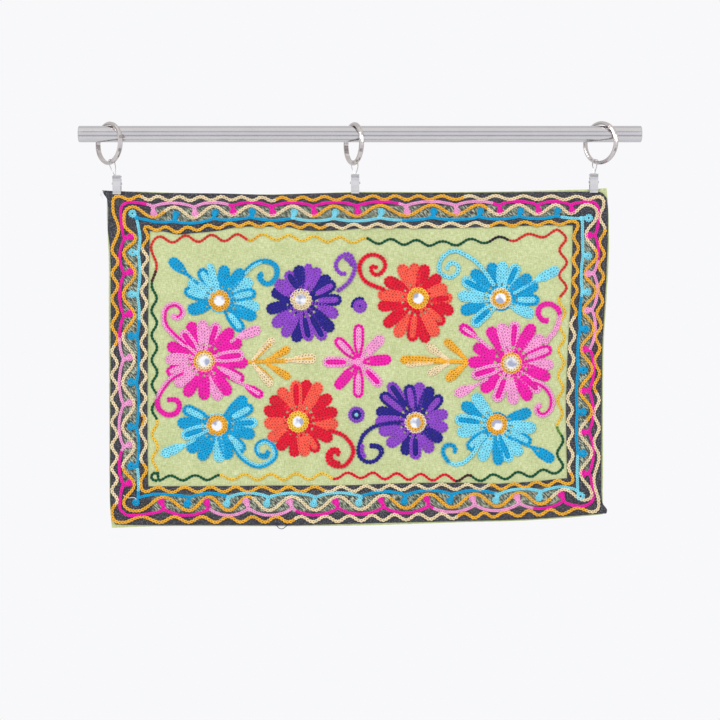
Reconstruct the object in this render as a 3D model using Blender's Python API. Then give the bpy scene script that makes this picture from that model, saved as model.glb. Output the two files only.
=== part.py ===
"""Embroidered wall hanging, held by three clip rings on a steel rod.

A lime green ground cloth carries a border of four black strips and ten round
glass mirrors. It hangs from three spring clips. Each clip hangs by a wire hook
from a flat-sided ring, and the rings hang on a round rod.

Metres, +Z up. The origin is the middle of the rod's axis, +X runs along the rod
and -Y faces the viewer. The thread work is left off: it is a finish.
"""

import math

import bmesh
import bpy
from mathutils import Matrix, Vector

for old in list(bpy.data.objects):
    bpy.data.objects.remove(old)

MM = 0.001
GAP = 0.3 * MM

# The rod
ROD_RADIUS = 10.0 * MM
ROD_LENGTH = 686.0 * MM
ROD_SIDES = 56
ROD_EDGE = 0.8 * MM

# The rings, bent from bar with a flat inner side and a domed outer side
RING_INNER_RADIUS = 22.3 * MM
RING_THICKNESS = 4.2 * MM
RING_WIDTH = 6.4 * MM
RING_STEPS = 40
RING_DOME_POINTS = 6
RING_LIP = 1.0 * MM
RING_JOINT_WIDTH = 0.5 * MM

# The hooks, each a closed and twisted loop of wire
WIRE_RADIUS = 0.6 * MM
HOOK_LEG_POINTS = 10
HOOK_CAP_POINTS = 9
HOOK_SQUARENESS = 5.0

# The spring clips. Their own origin is the middle of the pin
CLIP_WIDTH = 10.0 * MM
PLATE_THICKNESS = 0.8 * MM
PIN_RADIUS = 1.2 * MM
PIN_HEAD_RADIUS = 1.8 * MM
PIN_HEAD_LENGTH = 1.0 * MM
EAR_REACH = 1.9 * MM
EAR_LOW = -3.0 * MM
EAR_HIGH = 2.6 * MM
SPRING_WIRE_RADIUS = 0.35 * MM
SPRING_PITCH = 0.8 * MM

# The cloth
GROUND_THICKNESS = 1.2 * MM
STRIP_THICKNESS = 1.0 * MM
MIRROR_RADIUS = 8.5 * MM
MIRROR_THICKNESS = 1.2 * MM
MIRROR_EDGE = 0.25 * MM
MIRROR_SIDES = 20

# Cells of each sheet of cloth, along and across
GROUND_CELLS = (30, 19)
LONG_STRIP_CELLS = (30, 3)
SIDE_STRIP_CELLS = (3, 16)

# How each of the three hangers hangs
# name, ring x mm, turn of the ring about Z in degrees, where the hook has slid on
# the ring from its lowest point towards the front in degrees, clip x mm, pin z mm,
# joint in the ring in degrees from its top towards the back
HANGERS = (
    ("left", -306.0, 42.0, 14.0, -296.3, -60.6, 60.0),
    ("middle", -7.6, 24.0, 6.0, -5.9, -59.6, 104.0),
    ("right", 293.4, 45.0, -20.0, 284.9, -58.6, 62.0),
)

# Side of a clip's plate: distance from the pin's plane and height, mm, tip first
PLATE_SIDE = (
    (1.55, -13.0),
    (1.55, -11.6),
    (2.60, -9.0),
    (3.40, -3.2),
    (3.60, 2.6),
    (4.20, 6.0),
    (5.40, 9.2),
    (6.00, 10.0),
)

# Edges of the green ground cloth: x and z, mm, from the left or from the top
GROUND_TOP = (
    (-308.3, -70.4),
    (-296.3, -69.4),
    (-195.2, -72.6),
    (-109.8, -73.9),
    (-5.9, -70.6),
    (97.6, -70.5),
    (195.2, -69.3),
    (284.9, -67.2),
    (300.7, -65.8),
)
GROUND_BOTTOM = (
    (-302.0, -479.7),
    (-244.0, -478.0),
    (-170.8, -478.3),
    (-73.2, -477.6),
    (24.4, -476.5),
    (122.0, -473.4),
    (195.2, -471.4),
    (244.0, -468.0),
    (294.8, -463.2),
)
GROUND_LEFT = (
    (-308.3, -70.4),
    (-308.4, -102.0),
    (-306.2, -153.5),
    (-306.2, -202.3),
    (-305.2, -336.5),
    (-304.5, -446.3),
    (-302.0, -479.7),
)
GROUND_RIGHT = (
    (300.7, -65.8),
    (303.2, -100.0),
    (303.4, -146.2),
    (300.8, -195.0),
    (297.0, -251.1),
    (295.6, -324.3),
    (295.6, -400.0),
    (294.8, -463.2),
)

# Edges of the four black strips, mm. The top and bottom strips run the whole way
# across, and one corner of each sticks out past the ground cloth
TOP_STRIP_OUTER = (
    (-314.2, -68.6),
    (-296.3, -69.8),
    (-244.0, -71.9),
    (-170.8, -72.8),
    (-109.8, -74.2),
    (-60.0, -72.6),
    (-5.9, -71.6),
    (97.6, -71.4),
    (170.8, -70.9),
    (244.0, -70.4),
    (284.9, -70.4),
    (294.6, -71.6),
    (300.6, -78.0),
)
TOP_STRIP_INNER = (
    (-307.2, -118.4),
    (-240.3, -118.8),
    (-222.0, -122.4),
    (-201.3, -120.8),
    (-170.8, -117.9),
    (-150.1, -113.9),
    (-119.6, -113.1),
    (-85.4, -113.9),
    (-67.0, -117.6),
    (-24.4, -117.2),
    (6.1, -114.8),
    (86.6, -114.9),
    (170.8, -112.6),
    (242.8, -111.0),
    (302.2, -113.0),
)
TOP_STRIP_LEFT = (
    (-314.2, -68.6),
    (-312.2, -73.6),
    (-308.2, -79.6),
    (-307.3, -98.0),
    (-307.2, -118.4),
)
TOP_STRIP_RIGHT = ((300.6, -78.0), (302.0, -92.0), (302.2, -113.0))

BOTTOM_STRIP_INNER = (
    (-303.9, -429.2),
    (-170.8, -429.2),
    (-107.4, -428.2),
    (-13.4, -427.7),
    (36.6, -425.9),
    (80.5, -425.0),
    (133.0, -425.2),
    (170.8, -426.0),
    (218.4, -422.6),
    (251.7, -419.0),
    (293.4, -418.4),
)
BOTTOM_STRIP_OUTER = (
    (-297.6, -475.4),
    (-268.4, -476.3),
    (-170.8, -476.7),
    (-85.4, -476.4),
    (-24.4, -475.0),
    (73.2, -472.8),
    (122.0, -471.8),
    (195.2, -469.8),
    (244.0, -466.2),
    (290.4, -462.4),
    (299.3, -462.2),
)
BOTTOM_STRIP_LEFT = (
    (-303.9, -429.2),
    (-303.6, -450.0),
    (-301.6, -467.0),
    (-297.6, -475.4),
)
BOTTOM_STRIP_RIGHT = (
    (293.4, -418.4),
    (293.5, -438.0),
    (295.0, -449.6),
    (300.4, -457.6),
    (299.3, -462.2),
)

LEFT_STRIP_OUTER = (
    (-307.2, -118.9),
    (-304.5, -142.5),
    (-303.8, -202.3),
    (-303.8, -336.5),
    (-303.9, -428.7),
)
LEFT_STRIP_INNER = (
    (-256.2, -119.3),
    (-257.0, -153.5),
    (-257.9, -202.3),
    (-258.5, -275.5),
    (-258.8, -350.0),
    (-257.9, -428.7),
)
RIGHT_STRIP_INNER = (
    (259.5, -112.1),
    (258.4, -153.5),
    (256.8, -202.3),
    (253.5, -251.1),
    (250.5, -324.3),
    (250.8, -373.1),
    (251.7, -418.5),
)
RIGHT_STRIP_OUTER = (
    (302.2, -113.5),
    (301.8, -135.2),
    (298.9, -196.2),
    (294.9, -260.8),
    (294.0, -324.3),
    (293.4, -417.9),
)

# Middles of the ten mirrors: x and z, mm
MIRRORS = (
    (-171.5, -203.0),
    (-72.0, -201.7),
    (70.8, -200.1),
    (171.4, -200.4),
    (-189.7, -277.1),
    (184.5, -279.4),
    (-174.3, -355.3),
    (-75.3, -350.5),
    (67.5, -351.6),
    (167.1, -354.4),
)

# Folds. Between two clips the top edge bows out, by a number for each span
TOP_BOWS = (-4.0 * MM, 3.0 * MM)
TOP_LINE = -70.0 * MM
BOW_FADE = 240.0 * MM
WAVE_START = 20.0 * MM
WAVE_FULL = 330.0 * MM
# Waves of the lower cloth: height mm, length mm, shift mm
WAVES = ((3.2, 310.0, 40.0), (1.3, 173.0, -35.0))
BOTTOM_SWING = -3.0 * MM

COLOURS = {
    "steel": ((0.62, 0.60, 0.60), 0.32, 1.0),
    "clip_steel": ((0.72, 0.72, 0.72), 0.25, 1.0),
    "green_cotton": ((0.55, 0.66, 0.34), 0.90, 0.0),
    "black_cotton": ((0.05, 0.05, 0.06), 0.92, 0.0),
    "mirror_glass": ((0.85, 0.87, 0.90), 0.05, 1.0),
}


def material(name):
    """The material of that name, made when it is first asked for."""
    made = bpy.data.materials.get(name)
    if made is None:
        colour, roughness, metallic = COLOURS[name]
        made = bpy.data.materials.new(name)
        made.use_nodes = True
        shader = made.node_tree.nodes["Principled BSDF"]
        shader.inputs["Base Color"].default_value = (*colour, 1.0)
        shader.inputs["Roughness"].default_value = roughness
        shader.inputs["Metallic"].default_value = metallic
        made.diffuse_color = (*colour, 1.0)
    return made


def make_object(name, bm, material_name, smooth=True):
    """Turns a bmesh into a named object of the scene."""
    bmesh.ops.recalc_face_normals(bm, faces=bm.faces)
    mesh = bpy.data.meshes.new(name)
    bm.to_mesh(mesh)
    bm.free()
    if smooth:
        mesh.shade_smooth()
        mesh.set_sharp_from_angle(angle=math.radians(35.0))
    mesh.materials.append(material(material_name))
    thing = bpy.data.objects.new(name, mesh)
    bpy.context.scene.collection.objects.link(thing)
    return thing


def make_guide(thing):
    """Marks an object as a tool of a Boolean, which isn't part of the hanging."""
    thing.hide_render = True
    thing.display_type = "WIRE"
    return thing


def boolean(thing, tool, operation):
    """Joins a tool to an object, or cuts it out, with a live modifier."""
    modifier = thing.modifiers.new(operation.title(), "BOOLEAN")
    modifier.operation = operation
    modifier.object = tool


def box(name, low, high, material_name):
    """A plain block between two corners."""
    bm = bmesh.new()
    bmesh.ops.create_cube(bm, size=1.0)
    low, high = Vector(low), Vector(high)
    for vert in bm.verts:
        vert.co = Vector(
            high[i] if vert.co[i] > 0 else low[i] for i in range(3)
        )
    return make_object(name, bm, material_name, smooth=False)


def smooth_step(value):
    """Rises from 0 to 1 with a level start and end."""
    value = min(1.0, max(0.0, value))
    return value * value * (3.0 - 2.0 * value)


def drape(x, z):
    """How far the middle of the cloth lies behind the rod's plane at a place."""
    below = TOP_LINE - z
    bow = 0.0
    pins = [hanger[4] * MM for hanger in HANGERS]
    for start, end, height in zip(pins, pins[1:], TOP_BOWS):
        if start < x < end:
            bow = height * math.sin(math.pi * (x - start) / (end - start)) ** 2
    bow *= 1.0 - smooth_step(below / BOW_FADE)
    wave = BOTTOM_SWING
    for height, length, shift in WAVES:
        wave += height * MM * math.sin(2.0 * math.pi * (x - shift * MM) / (length * MM))
    return bow + wave * smooth_step((below - WAVE_START) / WAVE_FULL)


def curve_point(points, share):
    """A place on the smooth curve through points, share 0 to 1 of its length."""
    places = [Vector(p) * MM for p in points]
    steps = [(b - a).length for a, b in zip(places, places[1:])]
    left = share * sum(steps)
    index = 0
    while index < len(steps) - 1 and left > steps[index]:
        left -= steps[index]
        index += 1
    t = min(1.0, left / steps[index])
    a, b = places[index], places[index + 1]
    before = places[index - 1] if index else a * 2.0 - b
    after = places[index + 2] if index + 2 < len(places) else b * 2.0 - a
    # The slopes are those of a curve that eases off where the steps are short
    slope_a = (b - before) * (steps[index] / ((a - before).length + steps[index]))
    slope_b = (after - a) * (steps[index] / ((after - b).length + steps[index]))
    return (
        a * (2 * t**3 - 3 * t**2 + 1)
        + slope_a * (t**3 - 2 * t**2 + t)
        + b * (3 * t**2 - 2 * t**3)
        + slope_b * (t**3 - t**2)
    )


def patch_point(edges, u, v):
    """A place in the patch that four edges bound, u from the left, v from the top."""
    top, bottom, left, right = edges
    across = curve_point(top, u) * (1 - v) + curve_point(bottom, u) * v
    down = curve_point(left, v) * (1 - u) + curve_point(right, v) * u
    corners = (
        curve_point(top, 0.0) * (1 - u) * (1 - v)
        + curve_point(top, 1.0) * u * (1 - v)
        + curve_point(bottom, 0.0) * (1 - u) * v
        + curve_point(bottom, 1.0) * u * v
    )
    return across + down - corners


def sheet(name, edges, cells, back, thickness, material_name):
    """A hanging sheet of cloth whose back lies the distance back in front of the
    cloth's middle, and whose front is one thickness further."""
    columns, rows = cells
    bm = bmesh.new()
    layers = []
    for offset in (back, back + thickness):
        grid = []
        for j in range(rows + 1):
            line = []
            for i in range(columns + 1):
                x, z = patch_point(edges, i / columns, j / rows)
                line.append(bm.verts.new((x, drape(x, z) - offset, z)))
            grid.append(line)
        layers.append(grid)
    behind, front = layers
    for grid in layers:
        for j in range(rows):
            for i in range(columns):
                bm.faces.new(
                    (grid[j][i], grid[j][i + 1], grid[j + 1][i + 1], grid[j + 1][i])
                )
    rim = [(0, i) for i in range(columns)]
    rim += [(j, columns) for j in range(rows)]
    rim += [(rows, i) for i in range(columns, 0, -1)]
    rim += [(j, 0) for j in range(rows, 0, -1)]
    for (j0, i0), (j1, i1) in zip(rim, rim[1:] + rim[:1]):
        bm.faces.new((behind[j0][i0], behind[j1][i1], front[j1][i1], front[j0][i0]))
    return make_object(name, bm, material_name)


def tube(name, path, radius, sides, material_name, closed, side_hint):
    """A round wire along a path. side_hint gives a direction across the path at
    each of its points, from which the wire's corners are laid out."""
    bm = bmesh.new()
    count = len(path)
    rings = []
    for i, place in enumerate(path):
        before = path[i - 1] if closed or i else place
        after = path[(i + 1) % count] if closed or i + 1 < count else place
        along = (after - before).normalized()
        across = side_hint[i] - along * side_hint[i].dot(along)
        across.normalize()
        up = along.cross(across)
        ring = []
        for k in range(sides):
            angle = 2.0 * math.pi * k / sides
            ring.append(
                bm.verts.new(
                    place
                    + across * radius * math.cos(angle)
                    + up * radius * math.sin(angle)
                )
            )
        rings.append(ring)
    pairs = list(zip(rings, rings[1:]))
    if closed:
        pairs.append((rings[-1], rings[0]))
    for a, b in pairs:
        for k in range(sides):
            n = (k + 1) % sides
            bm.faces.new((a[k], a[n], b[n], b[k]))
    if not closed:
        bm.faces.new(rings[0])
        bm.faces.new(rings[-1])
    return make_object(name, bm, material_name)


def turned(name, profile, steps, material_name):
    """A body turned about its own X axis from a profile of (x, radius) places,
    which starts and ends on the axis."""
    bm = bmesh.new()
    verts = [bm.verts.new((x, 0.0, radius)) for x, radius in profile]
    edges = [bm.edges.new(pair) for pair in zip(verts, verts[1:])]
    bmesh.ops.spin(
        bm,
        geom=verts + edges,
        cent=(0.0, 0.0, 0.0),
        axis=(1.0, 0.0, 0.0),
        angle=2.0 * math.pi,
        steps=steps,
        use_merge=True,
    )
    bmesh.ops.remove_doubles(bm, verts=bm.verts, dist=0.001 * MM)
    return make_object(name, bm, material_name)


def make_rod():
    """The rod, with a small bevel round each flat end."""
    half = ROD_LENGTH / 2.0
    profile = (
        (-half, 0.0),
        (-half, ROD_RADIUS - ROD_EDGE),
        (-half + ROD_EDGE, ROD_RADIUS),
        (half - ROD_EDGE, ROD_RADIUS),
        (half, ROD_RADIUS - ROD_EDGE),
        (half, 0.0),
    )
    turned("rod", profile, ROD_SIDES, "steel")


def ring_section():
    """Places (x, radius) round the ring's bar: flat inside, domed outside."""
    half = RING_WIDTH / 2.0
    lip = RING_INNER_RADIUS + RING_LIP
    section = [(half - RING_LIP / 2.0, RING_INNER_RADIUS)]
    section.append((-half + RING_LIP / 2.0, RING_INNER_RADIUS))
    dome = RING_THICKNESS - RING_LIP
    for k in range(RING_DOME_POINTS):
        angle = math.pi * k / (RING_DOME_POINTS - 1)
        section.append((-half * math.cos(angle), lip + dome * math.sin(angle)))
    return section


def ring_seat(turn):
    """Height of a ring's middle when it rests on the rod, turned about Z."""
    clear = ROD_RADIUS + GAP
    spin = Matrix.Rotation(turn, 3, "Z")
    seat = -RING_INNER_RADIUS
    fine = 4 * RING_STEPS
    chord = math.cos(math.pi / RING_STEPS)
    for x, radius in ring_section():
        for k in range(-fine // 4, fine // 4 + 1):
            angle = 2.0 * math.pi * k / fine
            bar = radius * chord
            place = spin @ Vector((x, bar * math.sin(angle), bar * math.cos(angle)))
            if abs(place.y) < clear:
                seat = max(seat, math.sqrt(clear**2 - place.y**2) - place.z)
    return seat


def ring_pose(hanger):
    """Where a ring hangs: its middle, and the rotation that turns it."""
    turn = math.radians(hanger[2])
    middle = Vector((hanger[1] * MM, 0.0, ring_seat(turn)))
    return middle, Matrix.Rotation(turn, 4, "Z")


def make_ring(hanger):
    """A ring, with the narrow joint where its two ends meet."""
    name = "ring_" + hanger[0]
    middle, spin = ring_pose(hanger)
    bm = bmesh.new()
    verts = [bm.verts.new((x, 0.0, radius)) for x, radius in ring_section()]
    loop = [bm.edges.new(pair) for pair in zip(verts, verts[1:] + verts[:1])]
    bmesh.ops.spin(
        bm,
        geom=verts + loop,
        cent=(0.0, 0.0, 0.0),
        axis=(1.0, 0.0, 0.0),
        angle=2.0 * math.pi,
        steps=RING_STEPS,
        use_merge=True,
    )
    bmesh.ops.remove_doubles(bm, verts=bm.verts, dist=0.001 * MM)
    ring = make_object(name, bm, "steel")
    ring.matrix_world = Matrix.Translation(middle) @ spin
    joint = make_guide(
        box(
            name + "_joint",
            (-RING_WIDTH, -RING_JOINT_WIDTH / 2.0, RING_INNER_RADIUS - RING_LIP),
            (
                RING_WIDTH,
                RING_JOINT_WIDTH / 2.0,
                RING_INNER_RADIUS + RING_THICKNESS + RING_LIP,
            ),
            "steel",
        )
    )
    back_turn = Matrix.Rotation(-math.radians(hanger[6]), 4, "X")
    joint.matrix_world = ring.matrix_world @ back_turn
    boolean(ring, joint, "DIFFERENCE")


def bar_place(hanger):
    """The middle of a ring's bar where its hook has slid to, and the direction
    from the ring's middle to it."""
    middle, spin = ring_pose(hanger)
    slid = math.radians(hanger[3])
    outward = spin.to_3x3() @ Vector((0.0, -math.sin(slid), -math.cos(slid)))
    return middle + outward * (RING_INNER_RADIUS + RING_THICKNESS / 2.0), outward


def make_hook(hanger):
    """The wire loop that passes round the ring's bar and under the clip's pin. It
    twists on its way down, as the pin lies across the bar's direction."""
    top_side = ring_pose(hanger)[1].to_3x3() @ Vector((1.0, 0.0, 0.0))
    bar, outward = bar_place(hanger)
    pin = pin_place(hanger)
    down = (pin - bar).normalized()
    plumb = Vector((down.x, 0.0, down.z)).normalized()
    pin_side = plumb.cross(Vector((1.0, 0.0, 0.0))).normalized()
    if pin_side.dot(top_side) < 0.0:
        pin_side = -pin_side
    top_half = RING_WIDTH / 2.0 + GAP + 1.5 * WIRE_RADIUS
    top_rise = RING_THICKNESS / 2.0 + GAP + 1.6 * WIRE_RADIUS
    pin_half = PIN_RADIUS + GAP + 1.1 * WIRE_RADIUS
    shoulder = bar + outward * (RING_THICKNESS / 2.0)

    def leg(side):
        """Places down one leg, and the direction across the loop at each. The loop
        hangs plumb where it passes between the clip's plates."""
        places = []
        for k in range(HOOK_LEG_POINTS):
            t = k / (HOOK_LEG_POINTS - 1)
            across = top_side.lerp(pin_side, smooth_step(t * 1.15)).normalized()
            half = pin_half + (top_half - pin_half) * (1.0 - smooth_step(t * 1.6))
            place = shoulder.lerp(pin, t)
            place.y = pin.y + (shoulder.y - pin.y) * (1.0 - t) ** 2
            places.append((place + across * half * side, across))
        return places

    path = leg(1.0)
    for k in range(1, HOOK_CAP_POINTS):
        angle = math.pi * k / HOOK_CAP_POINTS
        place = pin + pin_side * pin_half * math.cos(angle)
        path.append((place + plumb * pin_half * math.sin(angle), pin_side))
    path += reversed(leg(-1.0))
    for k in range(1, HOOK_CAP_POINTS):
        angle = math.pi * k / HOOK_CAP_POINTS
        side, rise = -math.cos(angle), math.sin(angle)
        side = math.copysign(abs(side) ** (2.0 / HOOK_SQUARENESS), side)
        rise **= 2.0 / HOOK_SQUARENESS
        place = bar + top_side * top_half * side - outward * top_rise * rise
        path.append((place, top_side))
    normals = [down.cross(across) for place, across in path]
    tube(
        "hook_" + hanger[0],
        [place for place, across in path],
        WIRE_RADIUS,
        6,
        "clip_steel",
        True,
        normals,
    )


def pin_place(hanger):
    """The middle of a clip's pin: halfway through the cloth and its strip."""
    front = GROUND_THICKNESS / 2.0 + GAP + STRIP_THICKNESS
    middle = (GROUND_THICKNESS / 2.0 - front) / 2.0
    return Vector((hanger[4] * MM, middle, hanger[5] * MM))


def make_plate(name, hanger, side, ear_outer):
    """One of a clip's two plates, at side -1 the front, with the ears that the pin
    passes through. ear_outer is how far from the middle the ears' outer faces lie."""
    bm = bmesh.new()
    path = [Vector((0.0, side * y * MM, z * MM)) for y, z in PLATE_SIDE]
    outer = []
    for i, place in enumerate(path):
        along = path[min(i + 1, len(path) - 1)] - path[max(i - 1, 0)]
        normal = Vector((0.0, side * along.z, -along.y * side)).normalized()
        outer.append(place + normal * PLATE_THICKNESS)
    section = [bm.verts.new(p) for p in path + outer[::-1]]
    face = bm.faces.new(section)
    swept = bmesh.ops.extrude_face_region(bm, geom=[face])["geom"]
    half = CLIP_WIDTH / 2.0
    bmesh.ops.translate(
        bm,
        verts=[v for v in swept if isinstance(v, bmesh.types.BMVert)],
        vec=(half, 0.0, 0.0),
    )
    bmesh.ops.translate(bm, verts=section, vec=(-half, 0.0, 0.0))
    plate = make_object(name, bm, "clip_steel", smooth=False)
    place = Matrix.Translation(pin_place(hanger))
    plate.matrix_world = place
    wall = PLATE_SIDE[3][0] * MM + PLATE_THICKNESS / 2.0
    for hand in (-1.0, 1.0):
        ends = sorted((hand * ear_outer, hand * (ear_outer - PLATE_THICKNESS)))
        reach = sorted((side * wall, -side * EAR_REACH))
        ear = make_guide(
            box(
                f"{name}_ear_{'left' if hand < 0 else 'right'}",
                (ends[0], reach[0], EAR_LOW),
                (ends[1], reach[1], EAR_HIGH),
                "clip_steel",
            )
        )
        ear.matrix_world = place
        boolean(plate, ear, "UNION")
    hole = (
        (-half - MM, 0.0),
        (-half - MM, PIN_RADIUS + GAP),
        (half + MM, PIN_RADIUS + GAP),
        (half + MM, 0.0),
    )
    drill = make_guide(turned(name + "_hole", hole, 16, "clip_steel"))
    drill.matrix_world = place
    boolean(plate, drill, "DIFFERENCE")


def make_pin(hanger):
    """The rivet that the two plates turn on, with a head past each ear."""
    inner = CLIP_WIDTH / 2.0 + GAP
    outer = inner + PIN_HEAD_LENGTH
    profile = (
        (-outer, 0.0),
        (-outer, PIN_HEAD_RADIUS * 0.6),
        (-inner - PIN_HEAD_LENGTH * 0.4, PIN_HEAD_RADIUS),
        (-inner, PIN_HEAD_RADIUS),
        (-inner, PIN_RADIUS),
        (inner, PIN_RADIUS),
        (inner, PIN_HEAD_RADIUS),
        (inner + PIN_HEAD_LENGTH * 0.4, PIN_HEAD_RADIUS),
        (outer, PIN_HEAD_RADIUS * 0.6),
        (outer, 0.0),
    )
    pin = turned("pin_" + hanger[0], profile, 16, "clip_steel")
    pin.matrix_world = Matrix.Translation(pin_place(hanger))


def make_spring(hanger):
    """The small coil on the pin. Its two arms press the handles apart."""
    coil = PIN_RADIUS + GAP + SPRING_WIRE_RADIUS + 0.1 * MM
    arm_top = 6.0 * MM
    arm_out = 2.9 * MM
    turns = 1.5
    steps = 24
    place = pin_place(hanger)
    # The coil sits on the side that the hook leans away from
    hand = math.copysign(1.0, place.x - bar_place(hanger)[0].x)
    start = (WIRE_RADIUS + GAP + SPRING_WIRE_RADIUS) * hand
    end = start + SPRING_PITCH * turns * hand
    path = [Vector((start, -arm_out, arm_top)), Vector((start, -arm_out, arm_top / 2))]
    for k in range(steps + 1):
        t = k / steps
        angle = math.pi + 2.0 * math.pi * turns * t
        path.append(
            Vector(
                (
                    start + (end - start) * t,
                    coil * math.cos(angle),
                    coil * math.sin(angle),
                )
            )
        )
    path += [Vector((end, arm_out, arm_top / 2)), Vector((end, arm_out, arm_top))]
    tube(
        "spring_" + hanger[0],
        [p + place for p in path],
        SPRING_WIRE_RADIUS,
        5,
        "clip_steel",
        False,
        [Vector((1.0, 0.0, 0.0))] * len(path),
    )


def make_cloth():
    """The ground cloth, and the four strips sewn on its front."""
    sheet(
        "ground_cloth",
        (GROUND_TOP, GROUND_BOTTOM, GROUND_LEFT, GROUND_RIGHT),
        GROUND_CELLS,
        -GROUND_THICKNESS / 2.0,
        GROUND_THICKNESS,
        "green_cotton",
    )
    strip_back = GROUND_THICKNESS / 2.0 + GAP
    strips = (
        (
            "border_top",
            (TOP_STRIP_OUTER, TOP_STRIP_INNER, TOP_STRIP_LEFT, TOP_STRIP_RIGHT),
            LONG_STRIP_CELLS,
        ),
        (
            "border_bottom",
            (
                BOTTOM_STRIP_INNER,
                BOTTOM_STRIP_OUTER,
                BOTTOM_STRIP_LEFT,
                BOTTOM_STRIP_RIGHT,
            ),
            LONG_STRIP_CELLS,
        ),
        (
            "border_left",
            (
                (LEFT_STRIP_OUTER[0], LEFT_STRIP_INNER[0]),
                (LEFT_STRIP_OUTER[-1], LEFT_STRIP_INNER[-1]),
                LEFT_STRIP_OUTER,
                LEFT_STRIP_INNER,
            ),
            SIDE_STRIP_CELLS,
        ),
        (
            "border_right",
            (
                (RIGHT_STRIP_INNER[0], RIGHT_STRIP_OUTER[0]),
                (RIGHT_STRIP_INNER[-1], RIGHT_STRIP_OUTER[-1]),
                RIGHT_STRIP_INNER,
                RIGHT_STRIP_OUTER,
            ),
            SIDE_STRIP_CELLS,
        ),
    )
    for name, edges, cells in strips:
        sheet(name, edges, cells, strip_back, STRIP_THICKNESS, "black_cotton")


def make_mirrors():
    """The round glass mirrors, each lying flat on the cloth behind it."""
    profile = (
        (0.0, 0.0),
        (0.0, MIRROR_RADIUS),
        (MIRROR_THICKNESS - MIRROR_EDGE, MIRROR_RADIUS),
        (MIRROR_THICKNESS, MIRROR_RADIUS - MIRROR_EDGE),
        (MIRROR_THICKNESS, 0.0),
    )
    for number, (x, z) in enumerate(MIRRORS, start=1):
        x, z = x * MM, z * MM
        reach = MIRROR_RADIUS
        slope_x = (drape(x + reach, z) - drape(x - reach, z)) / (2.0 * reach)
        slope_z = (drape(x, z + reach) - drape(x, z - reach)) / (2.0 * reach)
        forward = Vector((slope_x, -1.0, slope_z)).normalized()
        back = Vector((x, drape(x, z), z))
        back += forward * (GROUND_THICKNESS / 2.0 + GAP)
        mirror = turned(f"mirror_{number:02d}", profile, MIRROR_SIDES, "mirror_glass")
        turn = Vector((1.0, 0.0, 0.0)).rotation_difference(forward)
        mirror.matrix_world = Matrix.Translation(back) @ turn.to_matrix().to_4x4()


make_rod()
for hanger in HANGERS:
    make_ring(hanger)
    make_hook(hanger)
    make_plate("clip_front_" + hanger[0], hanger, -1.0, CLIP_WIDTH / 2.0)
    make_plate(
        "clip_back_" + hanger[0],
        hanger,
        1.0,
        CLIP_WIDTH / 2.0 - PLATE_THICKNESS - GAP,
    )
    make_pin(hanger)
    make_spring(hanger)
make_cloth()
make_mirrors()
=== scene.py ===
# %% [markdown]
# An embroidered wall hanging on a steel rod
# This lesson dresses a hanging of lime green cotton with a black border. Three clip
# rings hold it on a rod. Nearly all that is seen is thread: chain stitch, sewn in
# rows with a hooked needle, round ten small glass mirrors. The solids that carry it
# all are loaded first and stay as they are. Every length of the hanging is in
# millimetres, and is turned into metres where a mesh is made. The camera, the floor
# and the lamps are placed in metres.

# %% The frame
import math

import bpy
import numpy as np
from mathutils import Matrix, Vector


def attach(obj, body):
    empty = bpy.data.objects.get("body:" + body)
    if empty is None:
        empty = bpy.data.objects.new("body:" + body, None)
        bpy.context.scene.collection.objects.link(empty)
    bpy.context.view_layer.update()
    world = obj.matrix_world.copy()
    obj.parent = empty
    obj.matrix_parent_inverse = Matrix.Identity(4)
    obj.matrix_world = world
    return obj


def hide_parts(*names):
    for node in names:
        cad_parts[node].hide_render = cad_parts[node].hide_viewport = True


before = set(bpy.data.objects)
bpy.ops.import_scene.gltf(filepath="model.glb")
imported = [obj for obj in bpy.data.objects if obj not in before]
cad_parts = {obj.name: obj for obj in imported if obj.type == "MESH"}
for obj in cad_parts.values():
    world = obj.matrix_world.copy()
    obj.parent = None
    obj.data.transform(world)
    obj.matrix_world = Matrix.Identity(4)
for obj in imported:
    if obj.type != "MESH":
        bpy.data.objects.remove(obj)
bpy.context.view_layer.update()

MM = 0.001
BODY = "root"
chance = np.random.default_rng(11)
print("solids of the frame:", len(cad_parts))

# %% [markdown]
# Writing a material as sums
# A finish such as mottled cotton mixes several patterns. In the editor that is a web
# of Math nodes. Here a small class wraps a socket, so that a sum on two patterns is
# written as a sum, and one function adds any other node. A colour never goes through
# a Math node, which would turn it grey. It goes through a Mix node.


# %% Sockets that can be added up
class Wire:
    """A socket that a node gives out, on which sums can be written."""

    def __init__(self, tree, socket):
        self.tree = tree
        self.socket = socket

    def sum(self, operation, *values):
        return add_node(
            self.tree, "ShaderNodeMath", {"operation": operation}, dict(enumerate(values))
        )

    def __add__(self, other):
        return self.sum("ADD", self, other)

    def __mul__(self, other):
        return self.sum("MULTIPLY", self, other)


def add_node(tree, kind, settings=None, sockets=None, gives=0):
    """Adds a node with its settings and the values or wires of its sockets."""
    node = tree.nodes.new(kind)
    for name, value in (settings or {}).items():
        if name == "stops":
            set_stops(node.color_ramp, value)
        else:
            setattr(node, name, value)
    for key, value in (sockets or {}).items():
        if isinstance(value, Wire):
            tree.links.new(value.socket, node.inputs[key])
        else:
            node.inputs[key].default_value = value
    return Wire(tree, node.outputs[gives]) if len(node.outputs) else node


def set_stops(ramp, stops):
    """Gives a ramp its stops: a list of (position, colour)."""
    while len(ramp.elements) < len(stops):
        ramp.elements.new(1.0)
    for element, (position, colour) in zip(ramp.elements, stops):
        element.position = position
        element.color = colour


def rgb(red, green, blue):
    """A screen colour, 0 to 255, as the linear colour that a node takes."""
    share = [c / 255.0 for c in (red, green, blue)]
    linear = [c / 12.92 if c <= 0.04045 else ((c + 0.055) / 1.055) ** 2.4 for c in share]
    return (*linear, 1.0)


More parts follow.
